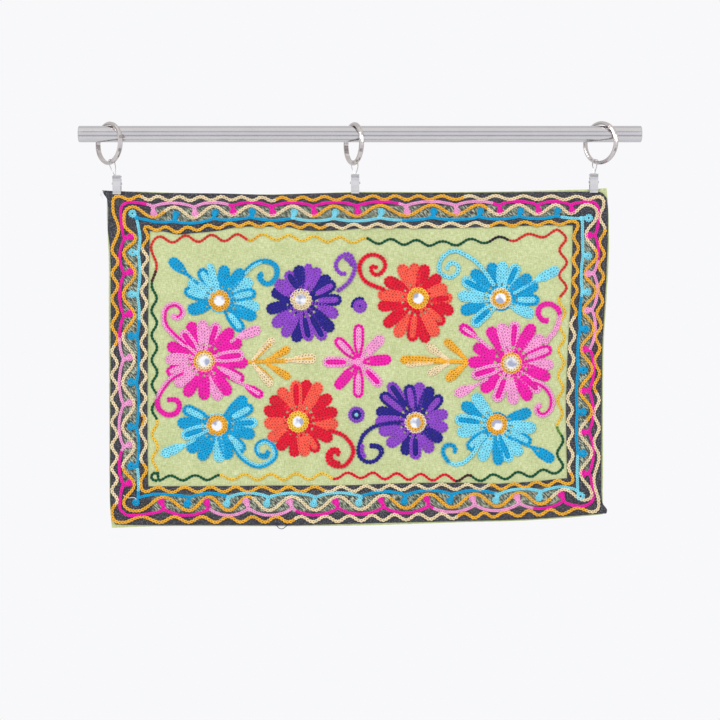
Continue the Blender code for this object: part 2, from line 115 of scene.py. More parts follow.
def blend(tree, factor, first, second, how="MIX"):
    """Two colours mixed by a factor."""
    settings = {"data_type": "RGBA", "blend_type": how}
    return add_node(tree, "ShaderNodeMix", settings, {0: factor, 6: first, 7: second}, 2)


def ramp(tree, factor, *stops):
    """Turns a pattern into colours."""
    return add_node(tree, "ShaderNodeValToRGB", {"stops": stops}, {0: factor})


def grey(value):
    return (value, value, value, 1.0)


def start_finish(name, constants):
    """A new material: its node tree and its shader, with the plain values set."""
    material = bpy.data.materials.new(name)
    material.use_nodes = True
    shader = material.node_tree.nodes["Principled BSDF"]
    for socket, value in constants.items():
        shader.inputs[socket].default_value = value
    return material, material.node_tree, shader


def feed(tree, shader, **wires):
    """Links wires to the shader, by the sockets' names with _ for a space."""
    for name, wire in wires.items():
        tree.links.new(wire.socket, shader.inputs[name.replace("_", " ")])


def bump(tree, height, strength, distance):
    """Turns a height pattern into a normal."""
    sockets = {"Height": height, "Strength": strength, "Distance": distance}
    return add_node(tree, "ShaderNodeBump", {}, sockets)


def place_of(tree, source, scale):
    """Object or UV coordinates times a scale, so that 1 is 1 mm where it is 1000."""
    wire = add_node(tree, "ShaderNodeTexCoord", {}, {}, source)
    return add_node(tree, "ShaderNodeMapping", {}, {"Vector": wire, "Scale": scale})


def noise(tree, vector, scale, detail=2.0):
    sockets = {"Vector": vector, "Scale": scale, "Detail": detail}
    return add_node(tree, "ShaderNodeTexNoise", {}, sockets)


print("material helpers ready")

# %% [markdown]
# Camera, floor and light
# The hanging is seen square on from far away, so a long lens keeps its lines nearly
# parallel. The room is a pale studio: two broad lamps, and a world that is near white
# behind the hanging. Polished steel only shows what is round it. Behind the camera the
# world is therefore painted in level bands, near white with a grey one below the
# middle and another above it, which the round rod turns into its long streaks.

# %% Camera
CAMERA_DISTANCE = 2.4
VIEW_WIDTH = 0.878
VIEW_HEIGHT = -0.2755

bpy.ops.object.camera_add(
    location=(0.0, -CAMERA_DISTANCE, VIEW_HEIGHT), rotation=(math.pi / 2, 0.0, 0.0)
)
camera = bpy.context.object
camera.data.lens = camera.data.sensor_width * CAMERA_DISTANCE / VIEW_WIDTH
bpy.context.scene.camera = camera
bpy.context.scene.view_settings.view_transform = "Standard"
print("lens", round(camera.data.lens, 1), "mm")

# %% Floor and lamps
FLOOR_HEIGHT = -1.35
FLOOR_RADIUS = 1.5

bpy.ops.mesh.primitive_circle_add(
    vertices=96, radius=FLOOR_RADIUS, fill_type="NGON", location=(0.0, 0.0, FLOOR_HEIGHT)
)
floor = bpy.context.object
floor.name = "studio_floor"
floor_finish, tree, shader = start_finish("pale_floor", {"Roughness": 0.8})
spots = noise(tree, place_of(tree, "Object", (1.0, 1.0, 1.0)), 3.0)
floor_colour = ramp(tree, spots, (0.3, rgb(232, 234, 236)), (0.7, rgb(238, 240, 242)))
feed(tree, shader, Base_Color=floor_colour)
floor.data.materials.append(floor_finish)

LAMPS = (
    # name, place, watts, size
    ("lamp_left", (-1.9, -2.2, 1.5), 51.0, 1.5),
    ("lamp_right", (1.9, -2.3, 0.9), 30.0, 1.7),
)
for name, place, watts, size in LAMPS:
    bpy.ops.object.light_add(type="AREA", location=place)
    lamp = bpy.context.object
    lamp.name = name
    lamp.data.energy = watts
    lamp.data.size = size
    aim = Vector((0.0, 0.0, VIEW_HEIGHT)) - Vector(place)
    lamp.rotation_euler = aim.to_track_quat("-Z", "Y").to_euler()
print("lamps:", len(LAMPS))

# %% The bands that the steel mirrors
world = bpy.context.scene.world or bpy.data.worlds.new("studio")
bpy.context.scene.world = world
world.use_nodes = True
tree = world.node_tree
way = add_node(tree, "ShaderNodeTexCoord", {}, {}, "Generated")
ahead = add_node(tree, "ShaderNodeSeparateXYZ", {}, {0: way}, "Y")
height = add_node(tree, "ShaderNodeSeparateXYZ", {}, {0: way}, "Z")
bands = ramp(
    tree,
    height * 0.5 + 0.5,
    (0.00, rgb(228, 210, 210)),
    (0.03, rgb(255, 247, 246)),
    (0.185, rgb(252, 250, 250)),
    (0.215, rgb(172, 173, 182)),
    (0.285, rgb(178, 181, 193)),
    (0.35, rgb(238, 240, 250)),
    (0.47, rgb(250, 250, 255)),
    (0.62, rgb(250, 250, 254)),
    (0.675, rgb(182, 183, 191)),
    (0.735, rgb(190, 190, 197)),
    (0.81, rgb(248, 248, 250)),
    (1.00, rgb(254, 254, 254)),
)
SKY_STRENGTH = 1.25
backdrop = tuple(c / SKY_STRENGTH for c in rgb(248, 248, 250)[:3]) + (1.0,)
side = ramp(tree, ahead * 0.5 + 0.5, (0.47, grey(0.0)), (0.53, grey(1.0)))
sky = tree.nodes["Background"]
sky.inputs["Strength"].default_value = SKY_STRENGTH
tree.links.new(blend(tree, side, bands, backdrop).socket, sky.inputs["Color"])
print("studio world ready")

# %% [markdown]
# How the cloth hangs
# The top edge bows a little between the clips, and the free lower part swings in
# shallow waves. One function gives that depth for every place of the cloth, so that
# the sheets, the stitches and the mirrors' rims all lie on the same surface. Small
# puckers, which dense stitching always draws in, are added to it. Each sheet is laid
# out between four edge curves, with the edge points of the solids. Only the ends of
# the side strips lie closer to the other strips, by half a millimetre at most.

# %% The depth of the cloth
PIN_PLACES = (-296.3, -5.9, 284.9)
PIN_HEIGHTS = (-60.6, -59.6, -58.6)
TOP_BOWS = (-4.0, 3.0)
TOP_LINE = -70.0
BOW_FADE = 240.0
WAVE_START = 20.0
WAVE_FULL = 330.0
WAVES = ((3.2, 310.0, 40.0), (1.3, 173.0, -35.0))
BOTTOM_SWING = -3.0
# Puckers: height, and how far apart their crests lie across and down
PUCKERS = ((0.12, 43.0, 61.0), (0.09, -31.0, 37.0), (0.07, 19.0, -53.0))


def smooth_step(value):
    value = np.clip(value, 0.0, 1.0)
    return value * value * (3.0 - 2.0 * value)


def depth(x, z):
    """How far the middle of the cloth lies behind the rod's plane, in mm."""
    below = TOP_LINE - z
    bow = np.zeros_like(x)
    for start, end, height in zip(PIN_PLACES, PIN_PLACES[1:], TOP_BOWS):
        arch = height * np.sin(np.pi * (x - start) / (end - start)) ** 2
        bow = np.where((x > start) & (x < end), arch, bow)
    wave = BOTTOM_SWING
    for height, length, shift in WAVES:
        wave = wave + height * np.sin(2.0 * np.pi * (x - shift) / length)
    low = smooth_step((below - WAVE_START) / WAVE_FULL)
    y = bow * (1.0 - smooth_step(below / BOW_FADE)) + wave * low
    for height, across, down in PUCKERS:
        y = y + height * np.sin(2.0 * np.pi * (x / across + z / down))
    return y


def curve(points, shares):
    """Places on the smooth curve through points, at shares 0 to 1 of its length."""
    places = np.array(points, dtype=float)
    steps = np.linalg.norm(np.diff(places, axis=0), axis=1)
    ends = np.concatenate(([0.0], np.cumsum(steps)))
    gone = np.clip(np.asarray(shares, dtype=float), 0.0, 1.0) * ends[-1]
    index = np.clip(np.searchsorted(ends, gone, side="right") - 1, 0, len(steps) - 1)
    t = ((gone - ends[index]) / steps[index])[:, None]
    first, last = 2 * places[0] - places[1], 2 * places[-1] - places[-2]
    padded = np.vstack((first, places, last))
    before, a, b, after = (padded[index + k] for k in range(4))
    step = steps[index][:, None]
    step_in = np.linalg.norm(a - before, axis=1)[:, None]
    step_out = np.linalg.norm(after - b, axis=1)[:, None]
    slope_a = (b - before) * step / (step_in + step)
    slope_b = (after - a) * step / (step_out + step)
    return (
        a * (2 * t**3 - 3 * t**2 + 1)
        + slope_a * (t**3 - 2 * t**2 + t)
        + b * (3 * t**2 - 2 * t**3)
        + slope_b * (t**3 - t**2)
    )


def patch(edges, u, v):
    """Places in the patch between four edges, u from the left and v from the top."""
    top, bottom, left, right = edges
    a, b = u[:, None], v[:, None]
    across = curve(top, u) * (1 - b) + curve(bottom, u) * b
    down = curve(left, v) * (1 - a) + curve(right, v) * a
    ends = np.array((0.0, 1.0))
    (c00, c10), (c01, c11) = curve(top, ends), curve(bottom, ends)
    corners = c00 * (1 - a) * (1 - b) + c10 * a * (1 - b) + c01 * (1 - a) * b + c11 * a * b
    return across + down - corners


print("depth at the middle:", depth(np.zeros(1), np.full(1, -275.0)).round(2), "mm")

# %% The edges of the five sheets
GROUND_EDGES = (
    (
        (-308.3, -70.4), (-296.3, -69.4), (-195.2, -72.6), (-109.8, -73.9), (-5.9, -70.6),
        (97.6, -70.5), (195.2, -69.3), (284.9, -67.2), (300.7, -65.8),
    ),
    (
        (-302.0, -479.7), (-244.0, -478.0), (-170.8, -478.3), (-73.2, -477.6), (24.4, -476.5),
        (122.0, -473.4), (195.2, -471.4), (244.0, -468.0), (294.8, -463.2),
    ),
    (
        (-308.3, -70.4), (-308.4, -102.0), (-306.2, -153.5), (-306.2, -202.3), (-305.2, -336.5),
        (-304.5, -446.3), (-302.0, -479.7),
    ),
    (
        (300.7, -65.8), (303.2, -100.0), (303.4, -146.2), (300.8, -195.0), (297.0, -251.1),
        (295.6, -324.3), (295.6, -400.0), (294.8, -463.2),
    ),
)
TOP_STRIP_EDGES = (
    (
        (-314.2, -68.6), (-296.3, -69.8), (-244.0, -71.9), (-170.8, -72.8), (-109.8, -74.2),
        (-60.0, -72.6), (-5.9, -71.6), (97.6, -71.4), (170.8, -70.9), (244.0, -70.4),
        (284.9, -70.4), (294.6, -71.6), (300.6, -78.0),
    ),
    (
        (-307.2, -118.4), (-240.3, -118.8), (-222.0, -122.4), (-201.3, -120.8), (-170.8, -117.9),
        (-150.1, -113.9), (-119.6, -113.1), (-85.4, -113.9), (-67.0, -117.6), (-24.4, -117.2),
        (6.1, -114.8), (86.6, -114.9), (170.8, -112.6), (242.8, -111.0), (302.2, -113.0),
    ),
    (
        (-314.2, -68.6), (-312.2, -73.6), (-308.2, -79.6), (-307.3, -98.0), (-307.2, -118.4),
    ),
    ((300.6, -78.0), (302.0, -92.0), (302.2, -113.0)),
)
BOTTOM_STRIP_EDGES = (
    (
        (-303.9, -429.2), (-170.8, -429.2), (-107.4, -428.2), (-13.4, -427.7), (36.6, -425.9),
        (80.5, -425.0), (133.0, -425.2), (170.8, -426.0), (218.4, -422.6), (251.7, -419.0),
        (293.4, -418.4),
    ),
    (
        (-297.6, -475.4), (-268.4, -476.3), (-170.8, -476.7), (-85.4, -476.4), (-24.4, -475.0),
        (73.2, -472.8), (122.0, -471.8), (195.2, -469.8), (244.0, -466.2), (290.4, -462.4),
        (299.3, -462.2),
    ),
    ((-303.9, -429.2), (-303.6, -450.0), (-301.6, -467.0), (-297.6, -475.4)),
    (
        (293.4, -418.4), (293.5, -438.0), (295.0, -449.6), (300.4, -457.6), (299.3, -462.2),
    ),
)
LEFT_STRIP_EDGES = (
    ((-307.2, -118.45), (-256.2, -118.8)),
    ((-303.9, -429.15), (-257.9, -429.15)),
    (
        (-307.2, -118.45), (-304.5, -142.5), (-303.8, -202.3), (-303.8, -336.5),
        (-303.9, -429.15),
    ),
    (
        (-256.2, -118.8), (-257.0, -153.5), (-257.9, -202.3), (-258.5, -275.5), (-258.8, -350.0),
        (-257.9, -429.15),
    ),
)
RIGHT_STRIP_EDGES = (
    ((259.5, -111.6), (302.2, -113.05)),
    ((251.7, -418.95), (293.4, -418.35)),
    (
        (259.5, -111.6), (258.4, -153.5), (256.8, -202.3), (253.5, -251.1), (250.5, -324.3),
        (250.8, -373.1), (251.7, -418.95),
    ),
    (
        (302.2, -113.05), (301.8, -135.2), (298.9, -196.2), (294.9, -260.8), (294.0, -324.3),
        (293.4, -418.35),
    ),
)

# %% [markdown]
# The sheets of cloth
# The ground is one rectangle of slubby cotton, and the border is four black strips
# sewn on top of it. A flat grid stands for each cut length: its points are moved to
# the place where they hang, which keeps the grid's UV map as a ruler that follows the
# threads. Solidify then gives the cloth its two faces and its cut edges.

# %% Hanging a sheet
GROUND_FRONT = 0.6
STRIP_BACK = 0.66
STRIP_FRONT = 1.76
SHARP_ANGLE = 50.0


def apply_all(thing):
    """Applies a thing's modifiers in their order."""
    bpy.ops.object.select_all(action="DESELECT")
    bpy.context.view_layer.objects.active = thing
    thing.select_set(True)
    for modifier in list(thing.modifiers):
        bpy.ops.object.modifier_apply(modifier=modifier.name)


def edge_length(points):
    return float(np.linalg.norm(np.diff(np.array(points), axis=0), axis=1).sum())


def hang_cloth(name, edges, cell, back, front, node):
    """A sheet between four edges. back and front are how far its two faces lie in
    front of the cloth's middle. Gives the sheet and its cut size in mm."""
    cut = [(edge_length(edges[k]) + edge_length(edges[k + 1])) / 2.0 for k in (0, 2)]
    columns, rows = (max(1, round(length / cell)) for length in cut)
    bpy.ops.mesh.primitive_grid_add(x_subdivisions=columns, y_subdivisions=rows, size=1.0)
    thing = bpy.context.object
    thing.name = name
    flat = np.empty(len(thing.data.vertices) * 3)
    thing.data.vertices.foreach_get("co", flat)
    flat = flat.reshape(-1, 3)
    hung = patch(edges, flat[:, 0] + 0.5, 0.5 - flat[:, 1])
    x, z = hung[:, 0], hung[:, 1]
    y = depth(x, z) - (back + front) / 2.0
    thing.data.vertices.foreach_set("co", (np.stack((x, y, z), axis=1) * MM).ravel())
    thing.data.update()
    size = [length * MM for length in cut]
    area = min(sum(face.area for face in thing.data.polygons), size[0] * size[1])
    wall = thing.modifiers.new("Thickness", "SOLIDIFY")
    wall.thickness = (front - back) * MM
    wall.offset = 0.0
    apply_all(thing)
    thing.data.shade_smooth()
    thing.data.set_sharp_from_angle(angle=math.radians(SHARP_ANGLE))
    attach(thing, BODY)
    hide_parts(node)
    print(name, "cut", [round(s, 4) for s in size], "area", round(area, 4))
    return thing, cut


SHEETS = (
    # piece, edges, cell, back, front, node
    ("green_cloth", GROUND_EDGES, 4.0, -GROUND_FRONT, GROUND_FRONT, "ground_cloth"),
    ("black_top", TOP_STRIP_EDGES, 2.6, STRIP_BACK, STRIP_FRONT, "border_top"),
    ("black_bottom", BOTTOM_STRIP_EDGES, 2.6, STRIP_BACK, STRIP_FRONT, "border_bottom"),
    ("black_left", LEFT_STRIP_EDGES, 2.6, STRIP_BACK, STRIP_FRONT, "border_left"),
    ("black_right", RIGHT_STRIP_EDGES, 2.6, STRIP_BACK, STRIP_FRONT, "border_right"),
)
sheets = {}
for name, edges, cell, back, front, node in SHEETS:
    name != "green_cloth"
    sheets[name] = hang_cloth(name, edges, cell, back, front, node)

# %% [markdown]
# Cotton
# The ground is a plain weave of uneven yarn, so its green is flecked: some yarns are
# yellower, some greyer, in short streaks along and across. The black cloth is denser,
# and has picked up pale lint. Both weaves are read from the UV map, scaled to
# millimetres, so that the streaks keep to the threads where the cloth waves. The
# woven ribs are height only, because at this distance they don't show as colour.

# %% Woven finishes
YARN_PITCH = 0.62
# Changes of tone in a mm, along a yarn and across it
STREAKS = (0.16, 1.1)
WEAVE_BUMP = (0.55, 0.25 * MM)


def woven(name, cut, tones, flecks, filled):
    """A plain weave of uneven yarn, on a UV map that spans a cut size in mm. Where it
    is filled, the number "filling" of the mesh mixes in slanting strokes."""
    material, tree, shader = start_finish(name, COTTON)
    ruler = place_of(tree, "UV", (cut[0], cut[1], 1.0))
    long, fine = STREAKS
    along = noise(tree, place_of(tree, "UV", (cut[0] * long, cut[1] * fine, 1.0)), 1.0)
    down = noise(tree, place_of(tree, "UV", (cut[0] * fine, cut[1] * long, 1.0)), 1.0)
    cloud = noise(tree, ruler, 0.035, 4.0)
    mottle = along * 0.42 + down * 0.42 + cloud * 0.16
    colour = ramp(tree, mottle, *zip((0.36, 0.5, 0.64), tones))
    specks = noise(tree, ruler, 0.9, 0.0)
    fleck, rare = flecks
    shows = ramp(tree, specks, (rare, grey(0.0)), (rare + 0.1, grey(1.0)))
    colour = blend(tree, shows, colour, fleck)
    warp = wave_bands(tree, ruler, "X")
    weft = wave_bands(tree, ruler, "Y")
    relief = warp * weft + along * 0.5 + down * 0.5
    if filled:
        slant = add_node(
            tree, "ShaderNodeMapping", {}, {"Vector": ruler, "Rotation": (0.0, 0.0, math.pi / 4)}
        )
        slant = add_node(
            tree, "ShaderNodeMapping", {}, {"Vector": slant, "Scale": (0.2, 0.75, 1.0)}
        )
        strokes = noise(tree, slant, 1.0, 2.0)
        stitched = ramp(tree, strokes, *zip((0.4, 0.5, 0.61), FILLING))
        share = add_node(
            tree, "ShaderNodeAttribute", {"attribute_name": "filling"}, {}, "Fac"
        )
        colour = blend(tree, share, colour, stitched)
        relief = relief + strokes * share * 3.0
    feed(tree, shader, Base_Color=colour, Normal=bump(tree, relief, *WEAVE_BUMP))
    return material


def wave_bands(tree, ruler, direction):
    """Ribs one yarn wide across a direction."""
    settings = {"wave_type": "BANDS", "bands_direction": direction}
    sockets = {"Vector": ruler, "Scale": math.pi / (10.0 * YARN_PITCH), "Distortion": 0.6}
    return add_node(tree, "ShaderNodeTexWave", settings, sockets)


COTTON = {"Roughness": 0.92, "Sheen Weight": 0.15, "Sheen Roughness": 0.5}
GREEN = (rgb(150, 160, 106), rgb(176, 184, 132), rgb(198, 204, 161))
BLACK = (rgb(21, 21, 27), rgb(32, 32, 38), rgb(51, 51, 58))
FILLING = (rgb(40, 44, 42), rgb(88, 95, 80), rgb(166, 172, 150))
# The lint or the odd yarns that show as flecks: their colour, and how rare they are
GREEN_FLECKS = (rgb(150, 148, 94), 0.66)
BLACK_FLECKS = (rgb(112, 112, 120), 0.60)
for name, (thing, cut) in sheets.items():
    ground = name == "green_cloth"
    tones, flecks = (GREEN, GREEN_FLECKS) if ground else (BLACK, BLACK_FLECKS)
    thing.data.materials.clear()
    cotton = woven(name + "_cotton", cut, tones, flecks, filled=not ground)
    thing.data.materials.append(cotton)
print("woven finishes:", len(sheets))

# %% [markdown]
# One chain stitch
# A chain stitch is a loop of thread whose tail passes through the loop before it. In
# a row, only the loops show, like the links of a flat plait. One link is modelled
# from a torus of few sides: it is drawn out along the row, flattened, pinched at its
# tail and laid a little aslant, so that its head lies on the next link's tail. A short
# strand lies low in the loop, as the tail of the next one does. It is marked with a
# number, eye, so that the finish can paint shade on it. Every row of the hanging is
# made of copies of this link.

# %% The link
LINK_LENGTH = 5.3
LINK_WIDTH = 4.6
LINK_THREAD = 1.7
LINK_FLAT = 0.72
LINK_TILT = 6.0
TAIL_REACH = -1.2
TAIL_PINCH = 0.74
LOOP_SIDES = 8
THREAD_SIDES = 4
STRAND_SHAPE = (1.0, 1.1, 0.3)
STITCH = 3.9
SHORT_STITCH = 2.8


def link_points(mesh, test):
    """Selects, in edit mode, the points of the mesh whose place passes a test."""
    bpy.ops.mesh.select_all(action="DESELECT")
    bpy.ops.object.mode_set(mode="OBJECT")
    for vertex in mesh.vertices:
        vertex.select = bool(test(vertex.co))
    bpy.ops.object.mode_set(mode="EDIT")


bpy.ops.object.select_all(action="DESELECT")
bpy.ops.mesh.primitive_torus_add(
    major_segments=LOOP_SIDES,
    minor_segments=THREAD_SIDES,
    major_radius=(LINK_WIDTH - LINK_THREAD) / 2.0 * MM,
    minor_radius=LINK_THREAD / 2.0 * MM,
)
link = bpy.context.object
link.name = "chain_link"
bpy.ops.object.mode_set(mode="EDIT")
bpy.context.tool_settings.mesh_select_mode = (True, False, False)
bpy.ops.mesh.select_all(action="SELECT")
bpy.ops.transform.resize(
    value=(LINK_LENGTH / LINK_WIDTH, 1.0, LINK_FLAT), center_override=(0.0, 0.0, 0.0)
)
link_points(link.data, lambda place: place.x < TAIL_REACH * MM)
bpy.ops.transform.resize(value=(1.0, TAIL_PINCH, 1.0), center_override=(0.0, 0.0, 0.0))
bpy.ops.mesh.select_all(action="DESELECT")
bpy.ops.mesh.primitive_cylinder_add(
    vertices=THREAD_SIDES,
    radius=LINK_THREAD * 0.5 * MM,
    depth=(LINK_LENGTH - LINK_THREAD) * MM,
    end_fill_type="NOTHING",
    rotation=(0.0, math.pi / 2, 0.0),
)
bpy.ops.transform.resize(value=STRAND_SHAPE, center_override=(0.0, 0.0, 0.0))
bpy.ops.mesh.select_all(action="SELECT")
bpy.ops.object.mode_set(mode="OBJECT")
LINK_LIFT = LINK_THREAD * LINK_FLAT * 0.45
for vertex in link.data.vertices:
    vertex.co.z += LINK_LIFT * MM + vertex.co.x * math.sin(math.radians(LINK_TILT))
link.data.shade_smooth()
# The loop's points come first. All after them are the strand's: the stitch's eye,
# which the finish darkens with painted shade
loop_points = LOOP_SIDES * THREAD_SIDES
note = link.data.attributes.new("eye", "FLOAT", "POINT")
for number, item in enumerate(note.data):
    item.value = float(number >= loop_points)
print("link of", sum(len(face.vertices) - 2 for face in link.data.polygons), "triangles")

# %% [markdown]
# Thread
# The thread is glossy rayon, dyed in bright colours. Each stitch keeps its colour as
# an attribute, so that one finish serves them all. Across the colour run the fine
# plies of the twist, with painted highlights on their crests and random tone, and the
# eye of each stitch gets painted shade, as little light would fall into the loop.
# The sheen is a constant of the shader.

# %% The thread's finish
# How bright the eye stays under its painted shade
EYE_SHADE = 0.38

thread_finish, tree, shader = start_finish(
    "rayon_thread", {"Specular IOR Level": 0.2, "Sheen Weight": 0.02}
)
dye = add_node(tree, "ShaderNodeAttribute", {"attribute_name": "thread"}, {}, "Color")
twist = add_node(
    tree,
    "ShaderNodeTexWave",
    {"wave_type": "BANDS", "bands_direction": "DIAGONAL"},
    {"Vector": place_of(tree, "UV", (9.0, 2.0, 1.0)), "Scale": 1.2, "Distortion": 1.0},
)
patchy = noise(tree, place_of(tree, "Object", (1000.0, 1000.0, 1000.0)), 0.35, 2.0)
# Painted highlight on the crests of the twist, mixed with random patches of tone
ply_highlight_and_tone = ramp(tree, twist * 0.35 + patchy * 0.65, (0.25, grey(0.94)), (0.7, grey(1.0)))
colour = blend(tree, 1.0, dye, ply_highlight_and_tone, "MULTIPLY")
# Painted shade: the strand in each eye is darkened, for the shade inside the loop
eye = add_node(tree, "ShaderNodeAttribute", {"attribute_name": "eye"}, {}, "Fac")
eye_painted_shade = ramp(tree, eye, (0.0, grey(1.0)), (1.0, grey(EYE_SHADE)))
colour = blend(tree, 1.0, colour, eye_painted_shade, "MULTIPLY")
feed(
    tree,
    shader,
    Base_Color=colour,
    Roughness=patchy * 0.25 + 0.38,
    Normal=bump(tree, twist, 0.35, 0.12 * MM),
)
link.data.materials.append(thread_finish)

DYES = {
    "blue": rgb(0, 155, 204),
    "cyan": rgb(122, 208, 225),
    "magenta": rgb(229, 22, 162),
    "pink": rgb(233, 153, 200),
    "violet": rgb(138, 69, 189),
    "indigo": rgb(34, 28, 129),
    "red": rgb(216, 10, 46),
    "coral": rgb(236, 89, 70),
    "orange": rgb(227, 166, 48),
    "yellow": rgb(229, 186, 60),
    "cream": rgb(224, 204, 163),
    "green": rgb(10, 80, 52),
    "lime": rgb(100, 140, 60),
    "black": rgb(38, 34, 42),
    "brick": rgb(204, 50, 42),
    "brown": rgb(72, 34, 36),
    "plum": rgb(60, 32, 82),
    "white": rgb(216, 216, 220),
}
print("dyes:", len(DYES))

# %% [markdown]
# Sewing and laying
# A row is sewn by walking along its path in steps of one stitch. Where a link lies,
# which way it points and which way is up are noted as numbers first. Thousands of
# copies are then laid at once by Geometry Nodes: Instance on Points puts a link on
# each noted point, Axes to Rotation turns it, and Realize Instances makes one mesh.

# %% Noting the stitches
# How far a clip's jaws reach to each side of its pin, and below it
CLIP_REACH = (6.4, 14.0)
# Degrees from one place of a round path to the next
RING_STEP = 12.0


def walk(path, step):
    """Splits a path of (x, z) places into even steps: their starts and their ends."""
    path = np.asarray(path, dtype=float)
    gone = np.concatenate(([0.0], np.cumsum(np.linalg.norm(np.diff(path, axis=0), axis=1))))
    count = max(1, round(gone[-1] / step))
    marks = np.linspace(0.0, gone[-1], count + 1)
    places = np.stack([np.interp(marks, gone, path[:, k]) for k in (0, 1)], axis=1)
    return places[:-1], places[1:]


def smooth_path(points, count):
    """The smooth curve through points, as a path of count places."""
    return curve(points, np.linspace(0.0, 1.0, count))


def ring_path(middle, radius, start=0.0, turn=360.0):
    """Places round a circle, from an angle on and through a turn."""
    count = max(5, round(abs(turn) / RING_STEP))
    angles = np.radians(np.linspace(start, start + turn, count))
    return np.array(middle) + radius * np.stack((np.cos(angles), np.sin(angles)), axis=1)


def in_clip(x, z):
    """Whether a place lies under the jaws of a clip, where nothing is sewn."""
    return any(
        abs(x - pin) < CLIP_REACH[0] and z > height - CLIP_REACH[1]
        for pin, height in zip(PIN_PLACES, PIN_HEIGHTS)
    )


def sew(kit, path, thread, lift=0.0, wide=1.0, step=STITCH):
    """Notes a row of stitches along a path. thread is a dye, or a function that gives
    a dye for a place. lift is the height above the cloth at the start and the end."""
    starts, ends = walk(path, step)
    middles = (starts + ends) / 2.0
    lifts = np.broadcast_to(lift, (2,)) if np.ndim(lift) else np.array((lift, lift))
    share = np.linspace(0.0, 1.0, len(middles))
    for (x, z), (dx, dz), part in zip(middles, ends - starts, share):
        if in_clip(x, z):
            continue
        dye = thread(x, z) if callable(thread) else thread
        up = lifts[0] + (lifts[1] - lifts[0]) * part
        kit.append((x, z, dx, dz, up, wide, *DYES[dye][:3]))


def lay_tree(unit):
    """Nodes that put a copy of a unit on each noted point."""
    tree = bpy.data.node_groups.new("lay_" + unit.name, "GeometryNodeTree")
    sockets = {"socket_type": "NodeSocketGeometry"}
    tree.interface.new_socket("Geometry", in_out="INPUT", **sockets)
    tree.interface.new_socket("Geometry", in_out="OUTPUT", **sockets)
    points = add_node(tree, "NodeGroupInput", {}, {}, "Geometry")
    copy = add_node(tree, "GeometryNodeObjectInfo", {}, {"Object": unit}, "Geometry")

    def noted(name):
        settings = {"data_type": "FLOAT_VECTOR"}
        return add_node(tree, "GeometryNodeInputNamedAttribute", settings, {"Name": name})

    turn = add_node(
        tree,
        "FunctionNodeAxesToRotation",
        {"primary_axis": "X", "secondary_axis": "Z"},
        {"Primary Axis": noted("along"), "Secondary Axis": noted("out")},
    )
    copies = add_node(
        tree,
        "GeometryNodeInstanceOnPoints",
        {},
        {"Points": points, "Instance": copy, "Rotation": turn, "Scale": noted("size")},
    )
    joined = add_node(tree, "GeometryNodeRealizeInstances", {}, {"Geometry": copies})
    add_node(tree, "NodeGroupOutput", {}, {"Geometry": joined})
    return tree


SLOPE_REACH = 0.6
# How unevenly a hand sews: turn, shift and size of a stitch, and depth of its colour
SWAY = 0.05
SHIFT = 0.08
SWELL = (0.94, 1.06)
SHADES = (0.88, 1.06)
LENGTH_LIMITS = (0.5, 1.15)


def lay(name, kit, unit, front):
    """Lays a copy of the unit at each stitch of a kit, on cloth whose front face lies
    the distance front before its middle, and makes them one piece."""
    notes = np.array(kit)
    x, z, dx, dz, up, wide = notes[:, :6].T
    count = len(notes)
    length = np.hypot(dx, dz)
    reach = SLOPE_REACH
    slope_x = (depth(x + reach, z) - depth(x - reach, z)) / (2.0 * reach)
    slope_z = (depth(x, z + reach) - depth(x, z - reach)) / (2.0 * reach)
    sway = chance.normal(0.0, SWAY, count)
    ax = (dx * np.cos(sway) - dz * np.sin(sway)) / length
    az = (dx * np.sin(sway) + dz * np.cos(sway)) / length
    along = np.stack((ax, slope_x * ax + slope_z * az, az), axis=1)
    out = np.stack((slope_x, np.full(count, -1.0), slope_z), axis=1)
    shift = chance.normal(0.0, SHIFT, (2, count))
    places = np.stack((x + shift[0], depth(x, z) - front - up, z + shift[1]), axis=1)
    swell = chance.uniform(*SWELL, (3, count))
    swell[0] *= np.clip(length / STITCH, *LENGTH_LIMITS)
    size = np.stack((swell[0], swell[1] * wide, swell[2] * np.minimum(wide, 1.0)), axis=1)
    colour = np.ones((count, 4))
    colour[:, :3] = notes[:, 6:9] * chance.uniform(*SHADES, (count, 1))
    mesh = bpy.data.meshes.new(name)
    mesh.vertices.add(count)
    mesh.vertices.foreach_set("co", (places * MM).ravel())
    for label, values in (("along", along), ("out", out), ("size", size)):
        note = mesh.attributes.new(label, "FLOAT_VECTOR", "POINT")
        note.data.foreach_set("vector", values.ravel())
    note = mesh.attributes.new("thread", "FLOAT_COLOR", "POINT")
    note.data.foreach_set("color", np.clip(colour, 0.0, 1.0).ravel())
    thing = bpy.data.objects.new(name, mesh)
    bpy.context.scene.collection.objects.link(thing)
    thing.modifiers.new("Lay", "NODES").node_group = lay_tree(unit)
    apply_all(thing)
    for label in ("along", "out", "size"):
        made = thing.data.attributes.get(label)
        if made:
            thing.data.attributes.remove(made)
    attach(thing, BODY)
    triangles = sum(len(face.vertices) - 2 for face in thing.data.polygons)
    print(name, count, "stitches,", triangles, "triangles")


# %% [markdown]
# The border's rows
# Five rows run round the border. From the edge inwards they are a small wave, a line
# that scallops between knobs, a large wave, a second knobbed line that faces the
# first, and a small wave again. The knobs of both lines sit in the bends of the large
# wave. So the large wave's crests are measured side by side first, and everything
# else follows from them. A place on the border is a mark along one side, which is its
# x or its z, and a share of the way from the outer edge to the inner one.

